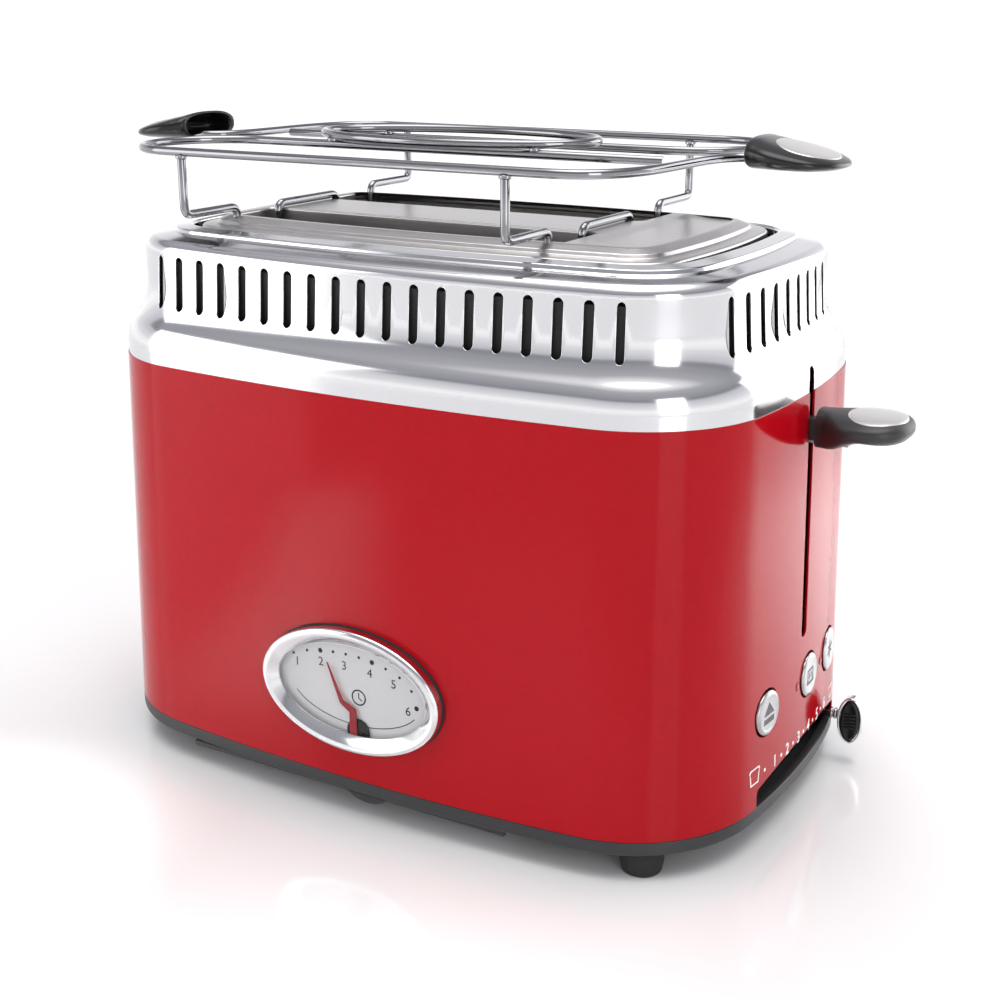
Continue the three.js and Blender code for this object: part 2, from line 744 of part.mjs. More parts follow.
// Moulded base: floor, visible strip, upstand inside the wrap, and rails for the crumb tray
const trayMargin = { left: 56, right: 76, front: 0.4, back: 20.7 }; // from the body's ends and sides
const trayRail = { clearance: 0.6, wall: 2.4, hook: 3, hookHeight: 1 };
const tray = {
  left: -bodyEnd + trayMargin.left,
  right: bodyEnd - trayMargin.right,
  front: -bodySide + trayMargin.front,
  back: bodySide - trayMargin.back,
  sheet: 0.8,
  wall: 2.2,
};
tray.floor = footHeight - trayRail.clearance - tray.wall;

function base() {
  const floor = slabBody([
    [-wrapFlare, footHeight],
    [-wrapFlare, floorTop],
  ]);
  const strip = ringBody([
    [-wrapFlare, footHeight],
    [-wrapFlare, baseTop],
    [-wrapFlare + stripWall, baseTop],
    [-wrapFlare + stripWall, footHeight],
  ]);
  const rim = ringBody([
    [upstand.outer, floorTop - floorSheet / 2],
    [upstand.outer, baseTop + upstand.height],
    [upstand.inner, baseTop + upstand.height],
    [upstand.inner, floorTop - floorSheet / 2],
  ]);
  const gaugeBack = cup.front + cup.depth + seatGap;
  const gaugeRoom = raise(gaugeOval(cup.flange + seatGap), "y", -bodySide - wrapFlare, gaugeBack, 12);
  const crumbMargin = 6;
  const crumbCut = block(
    [tray.left + crumbMargin, tray.right - crumbMargin],
    [tray.front + 4 * crumbMargin, tray.back - crumbMargin],
    [footHeight - overrun, floorTop + overrun],
  );
  const stemCut = block(
    [bodyEnd - endBow - overrun, bodyEnd + wrapFlare - stripWall / 4],
    [browningSlot.from, browningSlot.to],
    [baseTop - seatGap, baseTop + upstand.height + overrun],
  );
  const cordCut = block(
    [-bodyEnd - wrapFlare / 2 - upstand.wall, -bodyEnd + endBow + overrun],
    span(gland.y, gland.radius + gland.flangeRim + seatGap),
    [baseTop, baseTop + upstand.height + overrun],
  );
  const rails = [
    [tray.left - trayRail.clearance, -1],
    [tray.right + trayRail.clearance, 1],
  ].map(([edge, way]) => {
    const far = edge + way * trayRail.wall;
    const hookEdge = edge - way * trayRail.hook;
    const low = tray.floor - trayRail.clearance - trayRail.hookHeight;
    const along = [tray.front + 2 * crumbMargin, tray.back];
    const between = (a, b) => [Math.min(a, b), Math.max(a, b)];
    const wall = block(between(edge, far), along, [low, footHeight + floorSheet / 2]);
    return join(wall, block(between(hookEdge, far), along, [low, low + trayRail.hookHeight]));
  });
  const postWidth = 8;
  const postHeight = [floorTop - floorSheet / 2, board.low - seatGap];
  const posts = [board.from, board.to - postWidth].map((y) =>
    block([board.face - board.sheet, pot.face - seatGap], [y, y + postWidth], postHeight),
  );
  const moulding = cut(join(floor, strip, rim), crumbCut, stemCut, cordCut, gaugeRoom);
  return join(moulding, ...rails, ...posts);
}

const feet = {
  right: { endMargin: 28, sideMargin: 17.7 },
  left: { endMargin: 35, sideMargin: 34.7 },
  radius: 8.2,
  round: 1.4,
};
function foot(end, side) {
  const { endMargin, sideMargin } = end > 0 ? feet.right : feet.left;
  const profile = [
    [0, 0],
    [feet.radius - feet.round, 0],
    [feet.radius, feet.round],
    [feet.radius, footHeight - seatGap],
    [0, footHeight - seatGap],
  ].map(([radius, z]) => new THREE.Vector2(radius, z));
  const geometry = new THREE.LatheGeometry(profile, 24);
  geometry.rotateX(Math.PI / 2);
  geometry.translate(end * (bodyEnd - endMargin), side * (bodySide - sideMargin), 0);
  return solid(geometry);
}

// Shallow crumb tray with a round finger pull under the front
function crumbTray() {
  const edge = 1.6;
  const pull = { place: 4, drop: 4, sheet: 2.2, round: 15 };
  const rim = tray.floor + tray.wall;
  const length = [tray.left, tray.right];
  const depth = [tray.front, tray.back];
  const floor = block(length, depth, [tray.floor, tray.floor + tray.sheet]);
  const walls = [
    block([tray.left, tray.left + edge], depth, [tray.floor, rim]),
    block([tray.right - edge, tray.right], depth, [tray.floor, rim]),
    block(length, [tray.front, tray.front + edge], [tray.floor, rim]),
    block(length, [tray.back - edge, tray.back], [tray.floor, rim]),
  ];
  const pullHeight = rim + pull.round - pull.drop;
  const pullFront = tray.front - pull.sheet;
  const tab = roundBar(
    pull.round,
    at(pull.place, pullFront, pullHeight),
    at(pull.place, tray.front, pullHeight),
    "y",
    48,
  );
  const above = block(
    span(pull.place, pull.round + overrun),
    [pullFront - overrun, tray.front + overrun],
    [rim, rim + 2 * pull.round + overrun],
  );
  return join(floor, ...walls, cut(tab, above));
}

// Sheet frames at both ends of the slots; the carriage's supports pass through their upright slots
function endFrame(low, withTabs) {
  const top = plateEdge.height - plate.skirt - frame.topGap;
  let body = block([low, low + frameSheet], span(0, frame.halfWidth), [floorTop + seatGap, top]);
  const slotHalf = support.sheet / 2 + grill.running;
  const slotBottom = support.top - support.height - carriage.drop - overrun;
  const slotTop = support.top + (leverSlot.top - arm.top) + overrun;
  for (const y of [-support.place, support.place]) {
    const through = [low - overrun, low + frameSheet + overrun];
    body = cut(body, block(through, span(y, slotHalf), [slotBottom, slotTop]));
  }
  if (!withTabs) return body;
  const tabSheet = spring.anchor;
  const tabHalf = 6;
  const face = low + frameSheet / 2;
  const rodTop = plateCrown - rod.topDrop;
  const rodTab = cut(
    block([face, rod.x + tabHalf], span(rod.y, tabHalf), [rodTop - 3 * tabSheet, rodTop - 2 * tabSheet]),
    post(rod.radius + seatGap, rod.x, rod.y, rodTop - 4 * tabSheet, rodTop),
  );
  const springTop = carriage.top + spring.length + 2 * seatGap;
  const reach = [face, rod.x + tabHalf];
  return join(body, rodTab, block(reach, span(spring.y, tabHalf), [springTop, springTop + tabSheet]));
}

const frameInside = [frameLeft + frameSheet + seatGap, frameRight - seatGap];

function heaterCard(y) {
  return block(frameInside, span(y, heater.sheet / 2), [heater.bottom, plateCrown - heater.topDrop]);
}

function reflectorSheet(sign) {
  const place = sign * (slot.outer + reflector.margin);
  const top = plateCrown - reflector.topDrop;
  return block(frameInside, span(place, reflector.sheet / 2), [floorTop + seatGap, top]);
}

// Bread guide: a grille of upright bars between two rails
function breadGuide(y) {
  const trim = grill.running - seatGap;
  const length = [frameInside[0] + trim, frameInside[1] - trim];
  const depth = span(y, grill.sheet / 2);
  const top = plateCrown - grill.topDrop;
  const sheet = block(length, depth, [grill.bottom, top]);
  const pitch = (length[1] - length[0] - grill.bar) / (grill.count - 1);
  const windowHeight = [grill.bottom + grill.rail, top - grill.rail];
  const windows = Array.from({ length: grill.count - 1 }, (_, i) => {
    const from = length[0] + i * pitch + grill.bar;
    return block([from, from + pitch - grill.bar], span(y, overrun), windowHeight);
  });
  return cut(sheet, ...windows);
}

// A round bar that stands at a place between two heights
function post(radius, x, y, low, high, sides) {
  return roundBar(radius, at(x, y, low), at(x, y, high), "z", sides);
}

function carriagePlate() {
  const { face, sheet, halfWidth, bottom, top } = carriage;
  const bushOuter = rod.radius + rod.bushClearance + rod.bushWall;
  const inner = face + sheet / 2;
  const plateBody = block([face, face + sheet], span(0, halfWidth), [bottom, top]);
  const tab = block([face, face + sheet], span(0, rod.bushWall * 4), [top - overrun, arm.top]);
  const web = block([inner, rod.x], span(rod.y, rod.bushWall), [bottom, top]);
  const bush = post(bushOuter, rod.x, rod.y, bottom, top);
  const bore = post(rod.radius + rod.bushClearance, rod.x, rod.y, bottom - overrun, top + overrun);
  const earHalf = spring.coilRadius + spring.wire;
  const ear = block([inner, rod.x + earHalf], span(spring.y, earHalf), [top - sheet, top]);
  const coreEnd = magnet.x + magnet.core;
  const armature = block([inner, coreEnd], span(magnet.y, magnet.core), [bottom, bottom + sheet]);
  return join(cut(join(plateBody, web, bush), bore), tab, ear, armature);
}

function latchMagnet() {
  const coreTop = carriage.bottom - carriage.drop - seatGap;
  const coilTop = coreTop - magnet.coreProud;
  const coil = block(
    span(magnet.x, magnet.halfWidth),
    span(magnet.y, magnet.halfDepth),
    [floorTop + seatGap, coilTop],
  );
  return join(coil, post(magnet.core, magnet.x, magnet.y, coilTop - overrun, coreTop));
}

// Bread support: a rail on edge with cross fingers, hooked against the carriage plate
function breadSupport(sign) {
  const y = sign * support.place;
  const low = support.top - support.height;
  const end = frameLeft - overrun;
  const rail = block([end, carriage.face - seatGap], span(y, support.sheet / 2), [low, support.top]);
  const room = frameRight - frameLeft - frameSheet - 2 * support.fingerInset;
  const fingers = Array.from({ length: support.fingerCount }, (_, i) => {
    const x = frameLeft + frameSheet + support.fingerInset + (room * i) / (support.fingerCount - 1);
    const half = [low + support.height / 2, support.top];
    return block(span(x, support.sheet / 2), span(y, support.finger / 2), half);
  });
  return join(rail, ...fingers);
}

function leverArm() {
  const from = carriage.face + carriage.sheet + seatGap;
  return block([from, knob.root + knob.length / 3], span(0, arm.thickness / 2), [arm.bottom, arm.top]);
}

// Extension spring that lifts the carriage
function carriageSpring() {
  const stepsPerTurn = 8;
  const count = spring.turns * stepsPerTurn;
  const low = carriage.top + seatGap + spring.wire / 2;
  const rise = spring.length - spring.wire;
  const route = Array.from({ length: count + 1 }, (_, i) => {
    const angle = (2 * Math.PI * i) / stepsPerTurn;
    const { coilRadius: r } = spring;
    return at(rod.x + r * Math.cos(angle), spring.y + r * Math.sin(angle), low + (rise * i) / count);
  });
  return wire(route, spring.wire, 4);
}

// Paddle-shaped plan of the lever knob: a round nose that narrows to a neck at the wall
function paddle(root, tip, halfWidth, neck, grow = 0) {
  const shape = new THREE.Shape();
  const noseRadius = halfWidth + grow;
  const nose = tip - halfWidth;
  const waist = root + (nose - root) / 3;
  shape.moveTo(root, -neck);
  shape.bezierCurveTo(waist, -neck, waist, -noseRadius, nose, -noseRadius);
  shape.absellipse(nose, 0, halfWidth + grow, noseRadius, -Math.PI / 2, Math.PI / 2);
  shape.bezierCurveTo(waist, noseRadius, waist, neck, root, neck);
  return shape;
}

function leverKnob() {
  const plan = paddle(knob.root, knob.tip, knob.halfWidth, knob.neckHalfWidth);
  const body = raise(plan, "z", knob.bottom, knob.top, 10);
  const rib = block(
    [knob.root, knob.root + knob.neckHalfWidth * 2],
    span(0, knob.neckHalfWidth / 2),
    [knob.ribBottom, knob.bottom + overrun],
  );
  const socket = block(
    [knob.root - overrun, knob.root + knob.length / 3 + seatGap],
    span(0, arm.thickness / 2 + seatGap),
    [arm.bottom - seatGap, arm.top + seatGap],
  );
  const bed = raise(insetPlan(seatGap), "z", knob.top - knobInset.depth, knob.top + overrun, 10);
  return cut(join(body, rib), socket, bed);
}

function insetPlan(grow) {
  const half = knobInset.length / 2;
  return ellipse(half + grow, knobInset.halfWidth + grow, knob.root + knobInset.margin + half, 0);
}

function leverInset() {
  return raise(insetPlan(0), "z", knob.top - knobInset.depth + seatGap, knob.top + knobInset.proud, 10);
}

// Push button: a round cap that stands proud of the wall, with a stem towards its switch
const switchDepth = 3.6;
function pushButton(y) {
  const wall = endWall(y, wrapInset(button.height));
  const face = wall + button.proud;
  const stemEnd = board.face + board.sheet + switchDepth + buttonStem.stroke + seatGap;
  const profile = [
    [0, stemEnd],
    [buttonStem.radius, stemEnd],
    [buttonStem.radius, face - buttonStem.rim],
    [button.radius, face - buttonStem.rim],
    [button.radius, face - button.crown],
    [button.radius - button.crown, face],
    [0, face],
  ].map(([radius, x]) => new THREE.Vector2(radius, x));
  const geometry = new THREE.LatheGeometry(profile, 28);
  geometry.rotateZ(-Math.PI / 2);
  geometry.translate(0, y, button.height);
  return solid(geometry);
}

function lightPipe(y) {
  const tip = endWall(y, wrapInset(light.height)) + light.proud;
  const foot = board.face + board.sheet + seatGap;
  return roundBar(light.radius, at(foot, y, light.height), at(tip, y, light.height), "x", 12);
}

function controlBoard() {
  const faces = [board.face, board.face + board.sheet];
  const sheet = block(faces, [board.from, board.to], [board.low, board.high]);
  const inside = board.face + board.sheet / 2;
  const switches = button.places.map((y) => {
    const half = buttonStem.radius;
    return block([inside, board.face + board.sheet + switchDepth], span(y, half), span(button.height, half));
  });
  const relay = { depth: 13, width: 20, height: 18, place: 14, rise: 6 };
  const relayBox = block(
    [board.face - relay.depth, inside],
    [board.from + relay.place, board.from + relay.place + relay.width],
    [board.low + relay.rise, board.low + relay.rise + relay.height],
  );
  const can = { radius: 6, depth: 16, place: 40, rise: 16 };
  const canAt = (x) => at(x, board.to - can.place, board.low + can.rise);
  const canBody = roundBar(can.radius, canAt(board.face - can.depth), canAt(inside), "x", 16);
  return join(sheet, ...switches, relayBox, canBody);
}

// Slide potentiometer on the base, with the groove that the browning stem runs in
function browningPot() {
  const low = floorTop + seatGap;
  const body = block([pot.face, pot.face + pot.depth], [pot.from, pot.to], [low, low + pot.height]);
  const mouth = pot.face + pot.depth;
  const groove = block(
    [mouth - stem.engagement - seatGap, mouth + overrun],
    [browningSlot.from + stem.frontMargin - stem.halfWidth - seatGap, stem.y + stem.halfWidth + seatGap],
    [stem.low - seatGap, stem.high + seatGap],
  );
  return cut(body, groove);
}

function browningStem() {
  return block(
    [pot.face + pot.depth - stem.engagement, browningKnob.face - seatGap],
    span(stem.y, stem.halfWidth),
    [stem.low, stem.high],
  );
}

// Upright oval grip on the stem's end, drawn in by inset
function browningOval(inset, halfDepth) {
  const { face, halfWidth, halfHeight, height } = browningKnob;
  const plan = ellipse(halfWidth - inset, halfHeight - inset, face + halfWidth, height);
  return raise(plan, "y", stem.y - halfDepth, stem.y + halfDepth, 10);
}

function browningCap() {
  return browningOval(browningKnob.rim + seatGap, browningKnob.halfDepth);
}

function browningRim() {
  const { halfDepth, rim } = browningKnob;
  return cut(browningOval(0, halfDepth - seatGap), browningOval(rim, halfDepth));
}

// Gauge: an oval ring whose section is given as [inset, distance behind the front]
// A round bar on the hand's axis, between two depths
function onPivot(radius, front, back, sides) {
  return roundBar(radius, at(0, front, dial.pivotHeight), at(0, back, dial.pivotHeight), "y", sides);
}

function ovalRing(sections, steps = 36) {
  const points = [];
  const faces = [];
  sections.forEach(([inset, behind], k) => {
    const next = (k + 1) % sections.length;
    for (let i = 0; i < steps; i += 1) {
      const angle = (2 * Math.PI * i) / steps;
      const a = gauge.halfWidth - inset;
      const b = gauge.halfHeight - inset;
      points.push([a * Math.cos(angle), gauge.front + behind, gauge.height + b * Math.sin(angle)]);
      const j = (i + 1) % steps;
      faces.push([k * steps + i, next * steps + j, next * steps + i]);
      faces.push([k * steps + i, k * steps + j, next * steps + j]);
    }
  });
  return solid(surface(points, faces));
}

function gaugeBezel() {
  const { rimWidth, rimDrop, shoulder, coneDepth, lip, wall } = gaugeRing;
  return ovalRing([
    [0, gauge.depth],
    [0, shoulder],
    [rimWidth / 4, rimDrop],
    [rimWidth / 2, 0],
    [rimWidth, rimDrop],
    [gauge.lipInset - lip, coneDepth - lip / 2],
    [gauge.lipInset, coneDepth],
    [gauge.lipInset - lip, coneDepth + lip],
    [wall, coneDepth + lip],
    [wall, gauge.depth],
  ]);
}

function ovalPlate(inset, behindFront, behindBack) {
  return raise(gaugeOval(-inset), "y", gauge.front + behindFront, gauge.front + behindBack, 20);
}

function gaugeFace() {
  const shaftHole = onPivot(dial.shaft + seatGap, gauge.front, 0, 12);
  return cut(ovalPlate(dial.inset, dial.behind, dial.behind + dial.sheet), shaftHole);
}

function gaugeLens() {
  return ovalPlate(lens.inset, lens.behind, lens.behind + lens.sheet);
}

// Hand with a knee: it leaves its hub upright, shifts to one side and runs on to its tip
function gaugeHand() {
  const { kneeHeight: knee, kneeShift: side, tipShift, length } = hand;
  const half = hand.width / 2;
  const bladeHalf = hand.bladeWidth / 2;
  const bladeFoot = knee + hand.kneeRise;
  const outlinePoints = [
    [-half, 0],
    [half, 0],
    [half, knee + half / 2],
    [bladeHalf - side, bladeFoot + bladeHalf],
    [-tipShift, length],
    [-bladeHalf - side, bladeFoot - bladeHalf],
    [-half, knee - half / 2],
  ].map(([x, z]) => new THREE.Vector2(x, z + dial.pivotHeight));
  const front = gauge.front + hand.behind;
  const blade = raise(new THREE.Shape(outlinePoints), "y", front, front + hand.sheet);
  const hub = onPivot(dial.hub, front, front + hand.sheet, 16);
  const shaft = onPivot(dial.shaft, front, motor.face + seatGap + motor.grip, 12);
  return join(blade, hub, shaft);
}

// Dark disc on the face beside the hand's hub, cut off at the face's edge
function hubCover() {
  const shape = ellipse(cover.radius, cover.radius, cover.shift, dial.pivotHeight + cover.rise);
  const front = gauge.front + cover.behind;
  const round = raise(shape, "y", front, front + cover.sheet, 12);
  const disc = round.intersect(ovalPlate(dial.inset, cover.behind - seatGap, dial.behind));
  return cut(disc, onPivot(dial.shaft + seatGap, front - overrun, 0, 12));
}

function guideRod() {
  return post(rod.radius, rod.x, rod.y, floorTop + seatGap, plateCrown - rod.topDrop, 16);
}

function gaugeHousing() {
  const { front, depth } = cup;
  const flange = raise(gaugeOval(cup.flange), "y", front, front + cup.flangeSheet, 12);
  const outer = raise(gaugeOval(cup.wall - cup.inset), "y", front, front + depth, 12);
  const room = raise(gaugeOval(-cup.inset), "y", front - overrun, front + depth - cup.wall, 12);
  return cut(join(flange, outer), room);
}

function gaugeMotor() {
  const bore = onPivot(dial.shaft + seatGap, motor.face - overrun, motor.face + motor.grip + 2 * seatGap, 12);
  const roomWidth = gauge.halfWidth - cup.inset;
  const roomDrop = (gauge.halfHeight - cup.inset) * Math.sqrt(1 - (motor.halfWidth / roomWidth) ** 2);
  const low = gauge.height - roomDrop + seatGap;
  const depth = [motor.face, cup.front + cup.depth - cup.wall];
  const body = block(span(0, motor.halfWidth), depth, [low, low + 2 * motor.halfHeight]);
  return cut(body, bore);
}

// Cord gland in the left end, with a bore for the mains cord
function cordGland() {
  const rim = gland.radius + gland.flangeRim;
  const wall = endWall(gland.y - rim, wrapInset(gland.height - rim));
  const outside = -wall - seatGap - gland.flange;
  const inside = outside + gland.flange + gland.grip;
  const tube = (radius, from, to, sides) =>
    roundBar(radius, at(from, gland.y, gland.height), at(to, gland.y, gland.height), "x", sides);
  const barrel = tube(gland.radius, outside, inside);
  const flange = tube(rim, outside, outside + gland.flange);
  return cut(join(barrel, flange), tube(gland.bore, outside - overrun, inside + overrun, 16));
}

function terminalBlock() {
  const size = { margin: 18, halfLength: 6, halfWidth: 14, height: 14 };
  const along = span(-bodyEnd + size.margin, size.halfLength);
  return block(along, span(gland.y, size.halfWidth), [floorTop + seatGap, floorTop + size.height]);
}

// Rack wire seen from above: inner run, round bend, rail and a free end that swings in to its handle
function hairpin(way) {
  const radius = (rack.rail - rack.inner) / 2;
  const middle = -(rack.rail + rack.inner) / 2;
  const bendMiddle = -rack.bendEnd + radius;
  const steps = 12;
  const turn = Array.from({ length: steps + 1 }, (_, i) => {
    const angle = (Math.PI * i) / steps;
    return [bendMiddle - radius * Math.sin(angle), middle + radius * Math.cos(angle)];
  });
  const places = [[rack.innerEnd, -rack.inner], ...turn, ...railEnd];
  return wire(places.map(([x, y]) => at(rack.middle + way * x, way * y, rack.height)), rackWire);
}

// Closed oval wire that rests on both inner runs
function rackOval() {
  const steps = 36;
  const places = Array.from({ length: steps }, (_, i) => {
    const angle = (2 * Math.PI * i) / steps;
    const x = rack.middle + rack.ovalHalfLength * Math.cos(angle);
    return at(x, rack.ovalHalfWidth * Math.sin(angle), rack.height + rackWire + seatGap);
  });
  return wireLoop(places, rackWire);
}

// Leg: two posts joined by a wire that crosses the plate and dips into both slots
function rackLeg(x) {
  const { rail, dip, bend, height, footRise } = rack;
  const rest = plateCrown + seatGap + rackWire / 2;
  const low = plateCrown - dip;
  const clear = rackWire / 2 + slot.lipSheet + seatGap * 2;
  const top = height - rackWire / 2 - seatGap;
  const half = [
    [slot.inner + clear, rest],
    [slot.inner + clear, low],
    [slot.outer - clear, low],
    [slot.outer - clear, rest + footRise],
    [rail, rest + footRise],
    [rail, top],
  ];
  const route = (side) => half.map(([y, z]) => at(x, side * y, z));
  return wire(rounded([...route(-1).reverse(), ...route(1)], bend, 2), rackWire);
}

// The handle's sloping top, as a frame at the middle of its inset
const topSlope = Math.atan2(handle.top - handle.tipTop, handle.tip - handle.base);
function onSlope(body) {
  const drop = handleInset.shift * Math.tan(topSlope) + handleInset.sheet;
  const turn = new THREE.Matrix4().makeRotationY(topSlope);
  turn.setPosition(handle.base + handleInset.shift, 0, handle.top - drop);
  return body.transform([...turn.elements]);
}

function turned(body, way) {
  const half = new THREE.Matrix4().makeRotationZ(way > 0 ? 0 : Math.PI);
  half.setPosition(rack.middle, 0, 0);
  return body.transform([...half.elements]);
}

function rackHandle(way) {
  const { base, tip, halfWidth, top, bottom } = handle;
  const body = raise(paddle(base, tip, halfWidth, halfWidth - handle.wall), "z", bottom, top, 10);
  const above = onSlope(block(span(0, 2 * tip), span(0, 2 * halfWidth), [0, top]));
  const insetBed = ellipse(handleInset.halfLength + seatGap, handleInset.halfWidth + seatGap);
  const bed = onSlope(raise(insetBed, "z", -handleInset.sheet - seatGap, overrun, 10));
  const { depth, halfWidth: room, height } = handleHollow;
  const hollow = raise(ellipse(room, height, 0, bottom), "x", base - overrun, base + depth, 8);
  const [end, y] = railEnd.at(-1);
  const socketEnd = at(end + seatGap, y, rack.height);
  const socket = roundBar(rackWire / 2 + seatGap, at(base, y, rack.height), socketEnd, "x", 16);
  return turned(cut(body, above, bed, hollow, socket), way);
}

function handleInsetPlate(way) {
  const plan = ellipse(handleInset.halfLength, handleInset.halfWidth);
  return turned(onSlope(raise(plan, "z", -handleInset.sheet, handleInset.proud, 10)), way);
}

add("wrap", wrap(), ...red);
add("collar", collarBody(), ...chrome);
add("vent_liner", ventLiner(), ...black);
add("top_plate", topPlate(), ...brushed);
add("base", base(), ...black);
add("foot_front_right", foot(1, -1), ...rubber);
add("foot_back_right", foot(1, 1), ...rubber);
add("foot_front_left", foot(-1, -1), ...rubber);
add("foot_back_left", foot(-1, 1), ...rubber);
add("crumb_tray", crumbTray(), ...galvanised);
add("frame_left", endFrame(frameLeft, false), ...galvanised);
add("frame_right", endFrame(frameRight, true), ...galvanised);
add("reflector_front", reflectorSheet(-1), ...galvanised);
add("reflector_back", reflectorSheet(1), ...galvanised);
add("heater_front_outer", heaterCard(-heater.outer), ...mica);
add("heater_front_inner", heaterCard(-heater.inner), ...mica);
add("heater_back_inner", heaterCard(heater.inner), ...mica);
add("heater_back_outer", heaterCard(heater.outer), ...mica);
add("guide_front_outer", breadGuide(-grill.outer), ...galvanised);
add("guide_front_inner", breadGuide(-grill.inner), ...galvanised);
add("guide_back_inner", breadGuide(grill.inner), ...galvanised);
add("guide_back_outer", breadGuide(grill.outer), ...galvanised);
add("carriage_plate", carriagePlate(), ...galvanised);
add("support_front", breadSupport(-1), ...galvanised);
add("support_back", breadSupport(1), ...galvanised);
add("lever_arm", leverArm(), ...galvanised);
add("lever_knob", leverKnob(), ...black);
add("lever_inset", leverInset(), ...brushed);
add("guide_rod", guideRod(), ...brushed);
add("carriage_spring", carriageSpring(), ...brushed);
add("latch_magnet", latchMagnet(), ...galvanised);
add("control_board", controlBoard(), ...greenBoard);
add("browning_pot", browningPot(), ...black);
add("browning_stem", browningStem(), ...black);
add("browning_knob", browningCap(), ...black);
add("browning_rim", browningRim(), ...chrome);
button.places.forEach((y, i) => add("button_" + ["front", "middle", "back"][i], pushButton(y), ...black));
light.places.forEach((y, i) => add("light_" + ["front", "back"][i], lightPipe(y), ...redLight));
add("gauge_bezel", gaugeBezel(), ...chrome);
add("gauge_face", gaugeFace(), ...white);
add("gauge_lens", gaugeLens(), ...clear);
add("gauge_hand", gaugeHand(), ...red);
add("gauge_hub_cover", hubCover(), ...black);
add("gauge_housing", gaugeHousing(), ...black);
add("gauge_motor", gaugeMotor(), ...black);
add("cord_gland", cordGland(), ...black);
add("terminal_block", terminalBlock(), ...white);
add("rack_wire_front", hairpin(1), ...chrome);
add("rack_wire_back", hairpin(-1), ...chrome);
add("rack_oval", rackOval(), ...chrome);
add("rack_leg_left", rackLeg(slot.left + rack.legMargin.left), ...chrome);
add("rack_leg_right", rackLeg(slot.right - rack.legMargin.right), ...chrome);
add("rack_handle_right", rackHandle(1), ...black);
add("rack_handle_left", rackHandle(-1), ...black);
add("handle_inset_right", handleInsetPlate(1), ...brushed);
add("handle_inset_left", handleInsetPlate(-1), ...brushed);

// The part's origin is under the middle of its bounds
const middle = new THREE.Box3().setFromObject(toaster).getCenter(at(0, 0, 0));
toaster.position.set(-middle.x, -middle.y, 0);
export default toaster;
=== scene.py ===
import bpy
import math
import numpy as np
from mathutils import Matrix, Vector
from mathutils.geometry import delaunay_2d_cdt


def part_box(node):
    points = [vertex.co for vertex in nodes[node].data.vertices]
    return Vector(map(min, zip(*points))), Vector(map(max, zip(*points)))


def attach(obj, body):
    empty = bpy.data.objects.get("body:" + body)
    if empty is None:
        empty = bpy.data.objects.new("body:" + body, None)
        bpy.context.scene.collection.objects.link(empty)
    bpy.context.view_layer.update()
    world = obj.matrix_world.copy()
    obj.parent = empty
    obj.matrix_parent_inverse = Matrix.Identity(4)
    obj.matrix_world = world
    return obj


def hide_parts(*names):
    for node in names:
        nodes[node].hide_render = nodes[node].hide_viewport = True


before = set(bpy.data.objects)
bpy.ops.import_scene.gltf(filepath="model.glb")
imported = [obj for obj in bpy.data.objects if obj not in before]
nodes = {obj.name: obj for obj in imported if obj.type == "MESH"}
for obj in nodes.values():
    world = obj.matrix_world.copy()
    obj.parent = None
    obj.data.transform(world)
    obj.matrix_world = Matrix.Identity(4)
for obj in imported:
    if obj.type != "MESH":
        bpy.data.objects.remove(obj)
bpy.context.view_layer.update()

# Camera: a short telephoto that looks down on the toaster's front right corner, so that the long front, the
# lever end and the top are all in view. Sizes are millimetres from the middle of the body on the worktop.
base_low, base_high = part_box("base")
body_middle = (base_low + base_high) / 2
body_middle.z = 0


def place(x, y, z):
    return body_middle + Vector((x, y, z)) / 1000


camera_turn = math.radians(30.161)
camera_drop = math.radians(17.891)
camera_distance, aim_right, aim_height = 640.324, 7.601, 101.65
camera_target = Vector((aim_right * math.cos(camera_turn), aim_right * math.sin(camera_turn), aim_height))
towards_camera = Vector((
    math.sin(camera_turn) * math.cos(camera_drop),
    -math.cos(camera_turn) * math.cos(camera_drop),
    math.sin(camera_drop),
))
camera_data = bpy.data.cameras.new("camera")
camera_data.lens = 54.97
camera_data.sensor_width = 36
camera_data.clip_end = 60
camera = bpy.data.objects.new("camera", camera_data)
camera.matrix_world = (
    Matrix.Translation(place(*(camera_target + towards_camera * camera_distance)))
    @ towards_camera.to_track_quat("Z", "Y").to_matrix().to_4x4()
)
bpy.context.scene.collection.objects.link(camera)
bpy.context.scene.camera = camera


# Studio: a table of white acrylic sheet, which mirrors the toaster's foot softly, inside a tent of cloth. The
# cloth glows overhead, is dark grey at middle height and paler again near the table, as the chrome shows.
def shade(hex_colour):
    """An sRGB hex colour as linear values."""
    parts = [int(hex_colour[i:i + 2], 16) / 255 for i in (1, 3, 5)]
    return [p / 12.92 if p <= 0.04045 else ((p + 0.055) / 1.055) ** 2.4 for p in parts] + [1]


def add_node(tree, kind, inputs=(), **settings):
    """A shader node with its settings; an input is a value or another node's socket."""
    node = tree.nodes.new("ShaderNode" + kind)
    for name, value in settings.items():
        setattr(node, name, value)
    for name, value in dict(inputs).items():
        if isinstance(value, bpy.types.NodeSocket):
            tree.links.new(value, node.inputs[name])
        else:
            node.inputs[name].default_value = value
    return node


